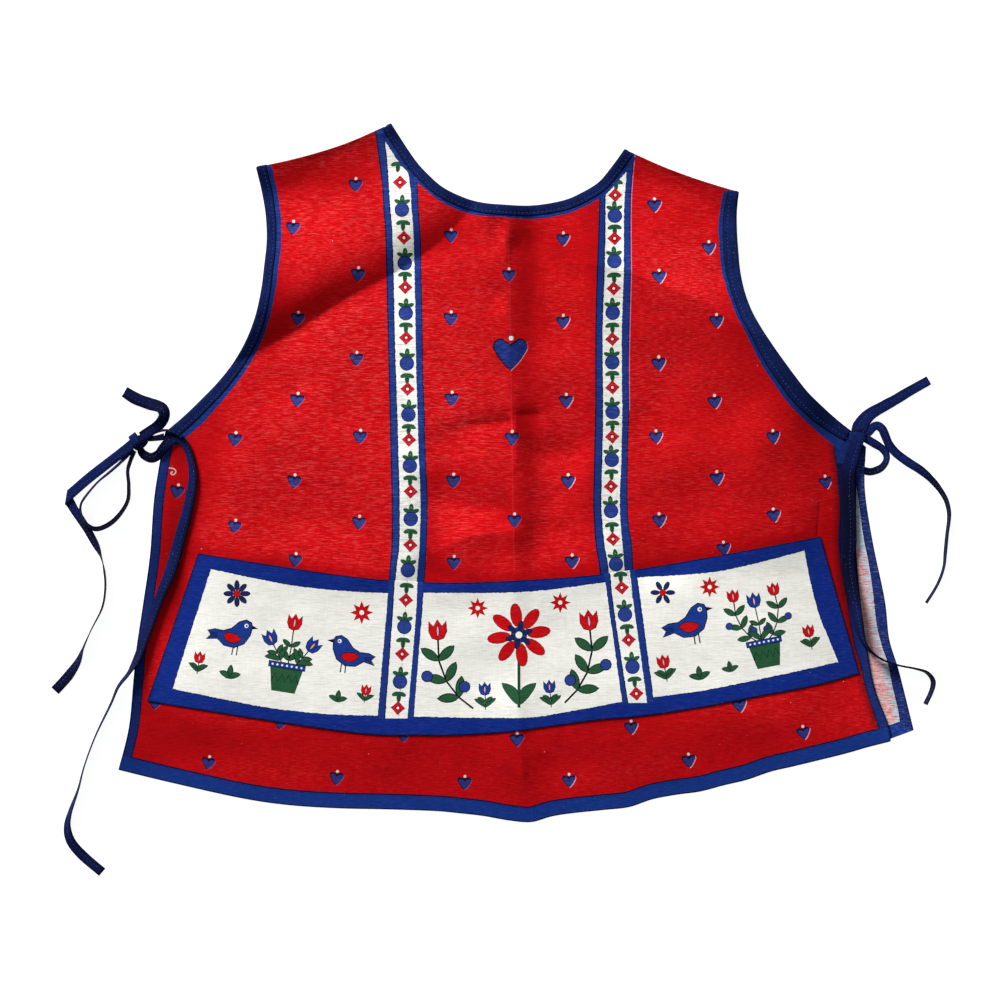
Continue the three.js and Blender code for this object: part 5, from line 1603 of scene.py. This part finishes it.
# Each tie by the points of its middle line: x, y, its height over what lies under it,
# how far it stands on edge in degrees and its width; then a 1 where the height is over
# the floor, and a second 1 where it is folded back on itself.
TIE_ROWS = {
    "left_front_tie": [
        (-301.5, 57, 4.4, 0, 6.5, 1), (-310, 55.6, 3, 0, 5, 1), (-318, 55, 1.4, 0, 5, 1),
    ],
    "left_back_tie": [
        (-284.5, 55.4, 0.4, 55, 4), (-291.5, 60.4, 0.4, 60, 4), (-300.5, 62.6, 0.6, 62, 4),
        (-309, 61.2, 0.2, 60, 4, 1), (-316, 59.4, 0, 40, 4, 1), (-322, 58, 0, 0, 4, 1),
    ],
    "left_flat_loop": [
        (-322.2, 56.7, 3.6, 0, 9, 1), (-314, 62, 3.6, 0, 9.5, 1), (-306, 67.6, 3.6, 20, 10, 1),
        (-301, 74.5, 3.4, 30, 9.5, 1), (-302, 81.4, 3.2, 25, 10, 1), (-307.5, 84.6, 3, 10, 10.5, 1),
        (-316.4, 87, 2.2, 0, 11, 1), (-327, 91, 1.8, 0, 11, 1), (-337, 97, 1.6, 0, 10, 1, 1),
        (-327, 91.4, 0, 0, 10, 1), (-316.4, 87.2, 0, 0, 10, 1), (-308, 83.5, 0, 0, 7, 1),
        (-304, 77, 0, 0, 6, 1), (-307, 70.5, 0.6, 0, 6, 1), (-313.5, 64.5, 1.6, 0, 6, 1),
        (-322, 58.6, 1.8, 0, 6, 1),
    ],
    "left_inner_loop": [
        (-330.5, 46.2, 0, 0, 4), (-341, 34, 0, 60, 5), (-351, 25, 0, 70, 7), (-361, 16.5, 0, 76, 8),
        (-371, 5, 0, 74, 9), (-376, -3, 1.4, 72, 9), (-376.5, -11, 1.7, 70, 9), (-373, -20, 1.7, 66, 9),
        (-364, -26, 1.7, 62, 9), (-353, -23, 0.6, 66, 9), (-343, -14.5, 0, 72, 9), (-334.5, -1, 0, 78, 9),
        (-333.5, 13, 0, 80, 9), (-334.5, 26, 0, 80, 8), (-332, 36, 0, 60, 5), (-328.5, 44.2, 0, 0, 3),
    ],
    "left_long_tail": [
        (-329.2, 51.8, 2.6, 0, 8.6), (-341, 42, 2.6, 0, 9), (-354, 32, 1.4, 0, 9), (-370, 19.5, 1.5, 0, 9),
        (-389.5, 2.5, 1.5, 0, 9, 0, 1), (-383.5, -8, 0, 0, 8), (-378, -16.5, 0, 0, 7.5),
        (-370.5, -28, 0, 0, 7), (-363.5, -40, 0, 35, 8), (-358.5, -51, 0, 75, 9), (-355.5, -64, 0, 90, 9),
        (-354.6, -79, 0, 90, 9), (-357.5, -97, 0, 90, 9), (-367.5, -117, 0, 85, 9),
        (-374.5, -133, 0, 75, 9), (-379.5, -146, 0, 45, 9), (-388, -158, 0, 10, 9),
        (-400.5, -171.5, 0, 0, 9),
    ],
    "left_front_tail": [
        (-323.9, 46, 0, 0, 6, 1), (-320.8, 41, 0, 10, 8, 1), (-314, 37.8, 1, 15, 9, 1),
        (-307, 40.5, 0.6, 15, 9), (-302, 46.5, 0.4, 10, 9), (-296.5, 53, 0.3, 5, 9),
        (-289.5, 55.5, 0.3, 0, 8.5), (-282.5, 49.5, 0.1, 5, 7), (-278, 37.5, 0.1, 10, 6.5),
        (-275.8, 26, 0.1, 12, 7.5), (-276.2, 13, 0.1, 12, 8.5), (-281, -11, 0.1, 8, 9.5),
        (-286.4, -31, 0.1, 4, 10.4), (-294.6, -60, 0.1, 6, 11), (-306, -88, 0.1, 14, 9),
        (-316.5, -117, 0.1, 22, 9), (-325, -140, 0.1, 36, 9), (-333, -155, 0.3, 65, 9),
        (-343, -168, 0, 70, 9), (-350, -184, 0, 75, 9), (-363.5, -212, 0, 80, 9), (-373.5, -239, 0, 80, 9),
        (-379, -260, 0, 75, 9), (-386.5, -281, 0, 60, 9), (-389, -294, 0, 40, 9), (-386, -307, 0, 15, 9),
        (-376, -319.5, 0, 0, 9), (-358, -335, 0, 0, 9),
    ],
    "right_back_tie": [
        (326.6, 53.2, 1.2, 0, 4, 1), (326.3, 58.9, 1.2, 0, 4, 1),
    ],
    "right_flat_loop": [
        (322.4, 59.4, 2.2, 0, 14, 1), (323.8, 66, 2.2, 0, 14, 1), (328.4, 72.8, 2.2, 0, 12.5, 1),
        (334.9, 78.6, 2, 0, 11, 1), (345, 84.4, 1.8, 0, 10, 1), (355.3, 90, 1.6, 0, 9.4, 1),
        (370, 98.8, 1.6, 0, 8.8, 1), (385, 107.2, 1.6, 0, 8.4, 1, 1), (370, 98.8, 0, 0, 8.8, 1),
        (355.3, 90, 0, 0, 9.4, 1), (345, 84.4, 0, 0, 9.4, 1), (335, 78.6, 0, 0, 9.4, 1),
        (329, 73.4, 0.3, 0, 9, 1), (325.4, 69.4, 0.4, 0, 9, 1), (324.4, 65, 0.5, 0, 9, 1),
    ],
    "right_small_loop": [
        (326.8, 57.6, 3, 0, 6, 1), (327.9, 56, 3, 0, 8, 1), (336.7, 50.6, 2.4, 5, 7.6, 1),
        (343, 46.6, 1.4, 20, 7, 1), (347, 41.4, 0.8, 35, 7, 1), (347.2, 35.6, 0.2, 45, 7, 1),
        (344.2, 30.4, 0, 35, 7, 1), (339.4, 27, 0, 10, 7, 1), (333.6, 25.6, 0, 0, 7, 1),
        (327.9, 26.4, 0, 0, 7, 1),
    ],
    "right_outer_tail": [
        (325.5, 57, 1.6, 0, 6, 1), (331.4, 60.2, 2, 0, 6.5, 1), (336, 65.8, 2, 0, 8, 1),
        (340, 66.4, 2, 5, 8, 1), (344, 63, 2, 15, 8, 1), (346.8, 56.6, 1.6, 10, 8, 1),
        (350, 49.8, 1, 5, 8, 1), (355.4, 43.2, 0.6, 0, 8, 1), (361.6, 38, 0, 0, 8, 1),
        (369, 33, 0, 5, 8, 1), (378, 27, 0, 25, 8, 1), (387.5, 18.5, 0, 50, 8, 1),
        (395, 9.5, 0, 65, 8.5, 1), (400.6, 0, 0, 72, 9, 1), (403, -9, 0, 76, 9, 1),
        (403.2, -18, 0, 80, 9, 1), (401.6, -31, 0, 82, 9, 1), (400, -47, 0, 82, 9, 1),
        (398.6, -61, 0, 84, 8, 1), (393, -76, 0, 82, 7, 1), (383, -92.5, 0, 78, 6, 1),
    ],
    "right_front_tail": [
        (321.4, 55, 0.3, 0, 11), (320, 50, 0.3, 0, 12), (317, 40, 0.3, 0, 12.5), (313.5, 27, 0.3, 0, 13),
        (312.4, 13, 0.3, 0, 13), (313.2, -12, 0.3, 0, 13), (313.6, -36, 0.3, 0, 13),
        (312.8, -54, 0.3, 0, 12), (314.6, -72, 0.3, 8, 11.4), (318.6, -93, 0.3, 20, 11),
        (323, -117, 0.3, 45, 9), (328.5, -131, 0.3, 75, 9), (337, -139.5, 0.3, 84, 9),
        (347, -145, 0.3, 83, 9), (358, -148.5, 0.3, 82, 9), (373, -151.5, 0, 80, 9),
        (383.5, -155, 0, 75, 9), (389, -162.5, 0, 70, 9), (387.5, -172, 0, 75, 9), (382, -183.5, 0, 75, 9),
    ],
}

# Painted shade on each tie along its length, with a little painted light where it is below
# nought: the share of the way, then the darkness at the right and at the left of that way.
TIE_SHADES = {
    "left_front_tie": [(0, 1, 1), (1, 1, 1)], "left_back_tie": [(0, 1, 1), (1, 1, 1)],
    "left_flat_loop": [(0, 0.5, 0.8), (0.1, 0.5, 0.9), (0.2, 0.8, 1), (0.3, 0.7, 1), (0.5, 0.45, 0.8),
        (0.55, 1, 1), (1, 1, 1)],
    "left_inner_loop": [(0, 1, 1), (0.1, 1.4, 1.4), (0.45, 1, 1), (0.6, 0.5, 0.5), (0.7, 1.4, 1.4),
        (1, 1.4, 1.4)],
    "left_long_tail": [(0, -0.15, 0), (0.3, -0.2, 0.1), (0.36, 0.2, 0.3), (0.4, 0.9, 0.9), (1, 1, 0.9)],
    "left_front_tail": [(0, 1.4, 1.4), (0.08, 1.4, 1.4), (0.14, 0.9, 1.2), (0.18, 0.1, 0.8), (0.3, 0, 0.7),
        (0.5, 0, 0.6), (0.62, 0.6, 0.8), (1, 0.5, 0.6)],
    "right_flat_loop": [(0, -0.2, 0.1), (0.5, -0.1, 0.2), (1, 1, 1)],
    "right_small_loop": [(0, 0, 0.2), (0.5, 0.2, 0.2), (0.7, 1.4, 1.4), (1, 1.4, 1.4)],
    "right_outer_tail": [(0, 0.1, 0.3), (0.2, 0, 0.2), (0.45, 0, 0.2), (0.6, 1, 1), (0.8, 1.5, 1.5),
        (1, 1.5, 1.5)],
    "right_front_tail": [(0, 0.1, 0.1), (0.14, 0.4, 0.5), (0.2, 1, 1.1), (0.4, 1.1, 1.2), (0.5, 0.4, 0.6),
        (0.62, 0.5, 0.7), (0.8, 1, 1.1), (0.9, 1.5, 1.5), (1, 1.5, 1.5)]
}

STEPS_PER_ROW = 6
FOLD_BULGE = 0.5
FOLD_MARGIN = 0.8
STRAIGHT_BACK = 0.1
CLEAR_REACH = 5
LEVELLING = 5

# The closed tape's section, in widths across and thicknesses through: a folded edge, an
# open edge with two lips, and the dip of the stitching along it.
TIE_SECTION = np.array([
    (-0.5, 0.0), (-0.47, -0.36), (-0.4, -0.5), (-0.1, -0.5), (0.12, -0.36), (0.4, -0.5), (0.5, -0.34),
    (0.5, -0.1), (0.43, 0.0), (0.5, 0.1), (0.5, 0.34), (0.4, 0.5), (0.12, 0.36), (-0.1, 0.5),
    (-0.4, 0.5), (-0.47, 0.36),
])


def top_under(points):
    """Top of what a tie lies on."""
    on_front, on_back = inside(points, front_outline), inside(points, back_outline)
    result = np.zeros(len(points))
    if on_back.any():
        result[on_back] = back_top(points[on_back]) + 0.5
    if on_front.any():
        bound = closest(points[on_front], bound_edges) < 11
        result[on_front] = front_top(points[on_front]) + 0.15 + bound * (ROOM + 1.1 * TAPE)
    return result


def clear_height(points):
    angles = np.arange(8) * math.pi / 4
    around = [points] + [points + CLEAR_REACH * np.array([math.cos(a), math.sin(a)]) for a in angles]
    return np.max([top_under(p) for p in around], axis=0)


def levelled(values):
    """A run of heights smoothed, never under the ones given."""
    for taken in (np.max, np.mean):
        padded = np.pad(values, LEVELLING, mode="edge")
        values = taken([padded[k:k + len(values)] for k in range(2 * LEVELLING + 1)], axis=0)
    return values


def tie_stretch(rows, side):
    """Sections of a tie between two folds: middle, along, across, face and width."""
    rows = np.array(rows, float)[:, :6]
    place = np.linspace(0, len(rows) - 1, STEPS_PER_ROW * (len(rows) - 1) + 1)
    xy, along = [], []
    for at in place:
        i = min(len(rows) - 2, int(at))
        t = at - i
        p0, p1, p2 = rows[max(i - 1, 0), :2], rows[i, :2], rows[i + 1, :2]
        p3 = rows[min(i + 2, len(rows) - 1), :2]
        out, back = (p2 - p0) / 2, (p3 - p1) / 2
        cube, square = 2 * p1 - 2 * p2 + out + back, -3 * p1 + 3 * p2 - 2 * out - back
        xy.append(cube * t**3 + square * t**2 + out * t + p1)
        tangent = 3 * cube * t**2 + 2 * square * t + out
        along.append(tangent / np.linalg.norm(tangent))
    xy, along = np.array(xy), np.array(along)
    lift, turn, wide, floored = (np.interp(place, range(len(rows)), rows[:, k]) for k in (2, 3, 4, 5))
    turn = np.radians(turn)
    below = levelled(clear_height(xy)) * (1 - floored)
    half = (np.cos(turn) * TIE + np.sin(turn) * wide) / 2
    sections = []
    for k in range(len(xy)):
        up = np.array([0, 0, side], float)
        ahead = np.array([*along[k], 0.0])
        level = np.cross(up, ahead)
        across = level * math.cos(turn[k]) + up * math.sin(turn[k])
        face = up * math.cos(turn[k]) - level * math.sin(turn[k])
        middle = np.array([*xy[k], below[k] + lift[k] + half[k]])
        sections.append([middle, ahead, across, face, wide[k]])
    return sections


def fold_sections(last, following, side):
    """The upper leg, the rounded edge and the lower leg of a fold."""
    total = last[1] + following[1]
    line = total / np.linalg.norm(total) if np.linalg.norm(total) > STRAIGHT_BACK else last[2].copy()
    if line @ last[2] < 0:
        line = -line
    out = last[1] - line * (last[1] @ line)
    out = out / np.linalg.norm(out)
    width = last[4] / np.linalg.norm(np.cross(last[1], line))
    downwards = np.sign(last[0][2] - following[0][2]) * side
    face = np.array([0, 0, side], float)
    made = [[last[0], last[1], line, face, width]]
    drop = (last[0][2] - following[0][2]) / 2
    for angle in (30, 60, 90, 120, 150):
        c, s = turned(angle)
        middle = last[0] + out * FOLD_BULGE * s
        middle[2] = (last[0][2] + following[0][2]) / 2 + drop * c
        made.append([middle, out, line, face * c + out * downwards * s, width])
    made.append([following[0], following[1], line, -face, width])
    return made


def tie_sections(rows):
    rows = [(*row, 0, 0)[:7] for row in rows]
    breaks = [i for i, row in enumerate(rows) if row[6]]
    ends = [0] + breaks + [len(rows) - 1]
    sections = []
    side, before = 1, None
    for k in range(len(ends) - 1):
        run = [list(row) for row in rows[ends[k]:ends[k + 1] + 1]]
        if k:
            run[0][2] = run[1][2]
        stretch = tie_stretch(run, side)
        if before is not None:
            fold = fold_sections(before, stretch[0], -side)
            slant = abs(fold[0][2] @ before[1])
            reach = slant * fold[0][4] / 2 + FOLD_MARGIN
            at = before[0]
            while np.hypot(*(sections[-1][0] - at)[:2]) <= reach:
                sections.pop()
            stretch = [s for s in stretch if np.hypot(*(s[0] - at)[:2]) > reach]
            sections += fold
        before = stretch[-1] if k + 2 < len(ends) else None
        sections += stretch
        side = -side
    return sections


def tie_object(name, sections):
    """The tape of a tie through its sections, slightly crumpled."""
    rings = []
    seed = 11.0 + len(sections) / 7
    for k, (middle, _, across, face, width) in enumerate(sections):
        sway = 0.28 * noise.noise(Vector((k / 9, seed, 0)))
        swell = 1 + 0.05 * noise.noise(Vector((k / 6, seed, 5)))
        curl = 0.35 * noise.noise(Vector((k / 8, seed, 9)))
        u, v = TIE_SECTION.T
        bend = curl * (4 * u**2 - 0.5) * min(1.0, width / 9)
        ring = middle + np.outer(u * width * swell + sway, across) + np.outer(v * TIE + bend, face)
        ring[:, 2] = np.maximum(ring[:, 2], 0.05)
        rings.append(ring)
    count = len(TIE_SECTION)
    made = mesh_object(name, np.vstack(rings), ring_faces(len(rings), count, False), TIE_FINISH)
    # painted shade: the tape darker towards both its edges, and along its length by TIE_SHADES
    fold = np.clip(np.abs(TIE_SECTION[:, 0]) * 2 - 0.72, 0, 1) * 2.6
    share, right, left = np.array(TIE_SHADES.get(name[:-5], [(0, 0, 0), (1, 0, 0)]), float).T
    at = np.linspace(0, 1, len(rings))
    right, left = np.interp(at, share, right)[:, None], np.interp(at, share, left)[:, None]
    shade = right + (left - right) * eased(TIE_SECTION[:, 0], -0.3, 0.3)
    mark(made.data, "fold", (np.clip(fold + shade, -0.3, 1.5)).ravel())
    return facing_out(made)


tie_runs = {name: tie_sections(rows) for name, rows in TIE_ROWS.items()}
tie_pieces = {name: tie_object(name + "_tape", run) for name, run in tie_runs.items()}


# ---- knots: a band of tape wrapped round a bundle of tape

KNOT_LIFT = 0.2
RING_STEPS = 30


def ring_sections(x, y, angle, half_wide, half_high, width, lean):
    """A band of tape closed round a bundle that lies along an angle."""
    c, s = turned(angle)
    axis = np.array([c, s, 0.0])
    side = np.array([-s, c, 0.0])
    rings = []
    for k in range(RING_STEPS):
        t = 2 * math.pi * k / RING_STEPS
        reach = np.array([math.cos(t), math.sin(t)])
        square = np.sign(reach) * np.abs(reach) ** 0.6
        out = side * square[0] * half_wide + np.array([0, 0, 1]) * square[1] * half_high
        middle = np.array([x, y, KNOT_LIFT + half_high]) + out + axis * lean * square[0]
        normal = side * math.cos(t) / half_wide + np.array([0, 0, 1]) * math.sin(t) / half_high
        normal = normal / np.linalg.norm(normal)
        pinch = 1 - 0.06 * abs(math.cos(t))
        u, v = TIE_SECTION.T
        dome = 0.14 * (0.25 - u**2)
        ring = middle + np.outer(u * width * pinch, axis) + np.outer(v * TIE + dome * 3, normal)
        ring[:, 2] = np.maximum(ring[:, 2], 0.08)
        rings.append(ring)
    return rings


def bundle(x, y, angle, long, wide, high):
    """The tapes squeezed inside a knot: a lengthwise ridged lump."""
    c, s = turned(angle)
    rings = []
    for share in np.linspace(-1, 1, 15):
        size = math.sqrt(max(0.02, 1 - share**2 * 0.96)) ** 0.6
        ring = []
        for t in np.linspace(0, 2 * math.pi, 20, endpoint=False):
            ridge = 1 + 0.09 * math.sin(5 * t + 1.0)
            across = math.cos(t) * wide / 2 * size * ridge
            up = math.sin(t) * high / 2 * size * ridge
            ring.append((x + share * long / 2 * c - across * s, y + share * long / 2 * s + across * c,
                         max(0.08, KNOT_LIFT + high / 2 + up)))
        rings.append(np.array(ring))
    return rings


def knot_object(name, wrap, core):
    vertices, polygons, knot_shades = [], [], []
    for rings, closed in ((wrap, True), (core, False)):
        first = sum(len(v) for v in vertices)
        count = len(rings[0])
        vertices.append(np.vstack(rings))
        polygons += [tuple(first + i for i in face) for face in ring_faces(len(rings), count, closed)]
        # painted shade: the bundle inside the knot is much darker than its wrap
        knot_shades += [0.1 if closed else 1.2] * (len(rings) * count)
    made = mesh_object(name, np.vstack(vertices), polygons, TIE_FINISH)
    mark(made.data, "fold", knot_shades)
    return facing_out(made)


left_knot = knot_object(
    "left_knot_wrap", ring_sections(-328, 53.8, 38, 5.6, 2.8, 8.0, 0.6),
    bundle(-323.8, 51.6, 38, 15.0, 11.6, 5.0)
)
right_knot = knot_object(
    "right_knot_wrap", ring_sections(321.4, 56.6, 90, 7.6, 2.7, 8.4, 0.4),
    bundle(322.4, 58.6, 90, 11.0, 12.4, 5.2)
)


# ---- stitches

def stitch_tree():
    """Nodes that set a row of stitches along a line: one small oval for each stitch."""
    tree = bpy.data.node_groups.new("row_of_stitches", "GeometryNodeTree")
    face = tree.interface
    face.new_socket("Lines", in_out="INPUT", socket_type="NodeSocketGeometry")
    for name in ("Pitch", "Length", "Thickness", "Slant"):
        face.new_socket(name, in_out="INPUT", socket_type="NodeSocketFloat")
    face.new_socket("Thread", in_out="INPUT", socket_type="NodeSocketMaterial")
    face.new_socket("Stitches", in_out="OUTPUT", socket_type="NodeSocketGeometry")
    start = put(tree, "NodeGroupInput").outputs
    curve = put(tree, "GeometryNodeMeshToCurve", {"Mesh": start["Lines"]})
    even = put(tree, "GeometryNodeResampleCurve", {"Curve": curve, "Length": start["Pitch"]}, mode="LENGTH")
    tangent = put(tree, "GeometryNodeInputTangent")
    facing = put(tree, "FunctionNodeAlignRotationToVector", {"Vector": tangent}, axis="X")
    wander = put(tree, "FunctionNodeRandomValue", {2: -0.1, 3: 0.1, "Seed": 3}, data_type="FLOAT")
    lean = put(tree, "ShaderNodeMath", {0: wander.outputs[1], 1: start["Slant"]}, operation="ADD")
    angles = put(tree, "ShaderNodeCombineXYZ", {"Z": lean})
    leaning = put(
        tree, "FunctionNodeRotateRotation", {"Rotation": facing, "Rotate By": angles}, rotation_space="LOCAL"
    )
    oval_mesh = put(tree, "GeometryNodeMeshIcoSphere", {"Radius": 0.5, "Subdivisions": 1})
    size = put(
        tree, "ShaderNodeCombineXYZ", {"X": start["Length"], "Y": start["Thickness"], "Z": start["Thickness"]}
    )
    shaped = put(tree, "GeometryNodeTransform", {"Geometry": oval_mesh, "Scale": size})
    spread = put(tree, "FunctionNodeRandomValue", {2: 0.85, 3: 1.12, "Seed": 5}, data_type="FLOAT")
    set_out = put(
        tree, "GeometryNodeInstanceOnPoints",
        {"Points": even, "Instance": shaped, "Rotation": leaning, "Scale": spread.outputs[1]}
    )
    real = put(tree, "GeometryNodeRealizeInstances", {0: set_out})
    finished = put(tree, "GeometryNodeSetMaterial", {"Geometry": real, "Material": start["Thread"]})
    put(tree, "NodeGroupOutput", {"Stitches": finished})
    return tree


STITCH_TREE = stitch_tree()
LOWEST = 0.03  # nothing lies under the floor
SEWN_AT = 0.71  # where the binding's stitches run, as a share of its width
STITCH_RISE = 0.02
TAPE_STITCH = (3.6, 2.4, 0.6)  # pitch, length and thickness
CLOTH_STITCH = (3.2, 2.2, 0.36)
TIE_STITCH = (3.6, 2.2, 0.5)
STITCH_SLANT = 0.14
BACK_HEM_STITCH = 9.8
SHORTEST_SEWN = 14  # sections


def stitched(name, lines, pitch, length, thickness, thread, slant=0.0):
    """Rows of stitches as one plain mesh, along lines in millimetres."""
    vertices, edges = [], []
    for line in lines:
        first = len(vertices)
        vertices += [tuple(p * MM for p in point) for point in line]
        edges += [(first + i, first + i + 1) for i in range(len(line) - 1)]
    guide_mesh = bpy.data.meshes.new(name + "_guide")
    guide_mesh.from_pydata(vertices, edges, [])
    guide = added(name + "_guide", guide_mesh)
    rows = guide.modifiers.new("rows", "NODES")
    rows.node_group = STITCH_TREE
    values = {
        "Pitch": pitch * MM, "Length": length * MM, "Thickness": thickness * MM, "Slant": slant,
        "Thread": thread
    }
    for item in STITCH_TREE.interface.items_tree:
        if item.in_out == "INPUT" and item.name in values:
            rows[item.identifier] = values[item.name]
    graph = bpy.context.evaluated_depsgraph_get()
    mesh = bpy.data.meshes.new_from_object(guide.evaluated_get(graph))
    bpy.data.objects.remove(guide)
    mesh.name = name
    places = np.empty(3 * len(mesh.vertices))
    mesh.vertices.foreach_get("co", places)
    places[2::3] = np.maximum(places[2::3], LOWEST * MM)
    mesh.vertices.foreach_set("co", places)
    mesh.polygons.foreach_set("use_smooth", [True] * len(mesh.polygons))
    if not mesh.materials:
        mesh.materials.append(thread)
    return added(name, mesh)


def on_tape(line, widths, height, face):
    """A stitch line on the face of a binding."""
    rows = stations_on(line, widths, height, face)
    flat = np.array([p + a * w * SEWN_AT for p, a, w, *_ in rows])
    z = mid_front(flat) if height == "front" else mid_back(flat)
    return np.c_[flat, z + face * (CLOTH / 2 + ROOM + 0.55 * TAPE)]


def on_face(line, height):
    return np.c_[line, height(line) + STITCH_RISE]


def on_tie(run, face=1):
    return np.array(
        [middle + across * width * 0.12 + f * face * TIE * 0.36 for middle, _, across, f, width in run]
    )


tape_stitches = {
    name: stitched(
        name + "_stitches", [on_tape(front, widths, "front", 1), on_tape(back, widths, "back", -1)],
        *TAPE_STITCH, PALE_THREAD, STITCH_SLANT,
    )
    for name, front, back, widths in (
        ("neck", neck, back_neck, NECK_WIDTHS),
        ("right_armhole", right_armhole, back_right_armhole, RIGHT_WIDTHS),
        ("left_armhole", left_armhole, back_left_armhole, LEFT_WIDTHS),
    )
}
front_stitches = stitched("front_hem_stitches", [
    on_face(moved(right_side, -SIDE_HEM + 1.0)[6:-4], front_top),
    on_face(moved(hem, -BOTTOM_HEM + 0.6)[3:-3], front_top),
    on_face(moved(left_side, -SIDE_HEM + 1.0)[4:-6], front_top),
], *CLOTH_STITCH, DARK_THREAD)
pocket_lines = [moved(line, -1.6) for line in (pocket_bottom, pocket_left, pocket_right)]
pocket_lines += [spaced(line, 3) for line in POCKET_SEAMS[:2]]
pocket_stitches = stitched(
    "pocket_stitches", [on_face(line[1:-1], pocket_over) for line in pocket_lines], *CLOTH_STITCH, DARK_THREAD
)
back_lines = (moved(back_right_side, -SIDE_HEM + 1.0), moved(back_hem, -BACK_HEM_STITCH))
back_stitches = stitched(
    "back_hem_stitches", [on_face(line[3:-3], back_inside) for line in back_lines], *CLOTH_STITCH, DARK_THREAD
)
tie_stitches = {
    name: stitched(
        name + "_stitches", [on_tie(run, 1)[2:-2], on_tie(run, -1)[2:-2]], *TIE_STITCH, PALE_THREAD
    )
    for name, run in tie_runs.items()
    if len(run) > SHORTEST_SEWN
}


# ---- what each piece is

BODY = "root"


def give(piece, node, slot_name, *extra):
    """A piece rides on the apron and stands for a node, whose part it hides; its slot name is not used."""
    for made in (piece, *extra):
        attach(made, BODY)
        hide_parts(node)


give(front_cloth, "front_panel", "printed_cloth", front_stitches)
give(back_cloth, "back_panel", "cloth_inside", back_stitches)
give(pocket_cloth, "pocket_strip", "pocket_print", pocket_stitches)
for piece, name, widths, lines in (
    (neck_tape, "neck", NECK_WIDTHS, (neck, back_neck)),
    (right_tape, "right_armhole", RIGHT_WIDTHS, (right_armhole, back_right_armhole)),
    (left_tape, "left_armhole", LEFT_WIDTHS, (left_armhole, back_left_armhole))
):
    stitches = tape_stitches[name]
    give(piece, name + "_binding", "binding_tape", stitches)
for name, piece in tie_pieces.items():
    extra = [tie_stitches[name]] if name in tie_stitches else []
    give(piece, name, "binding_tape", *extra)
give(left_knot, "left_knot", "binding_tape")
give(right_knot, "right_knot", "binding_tape")
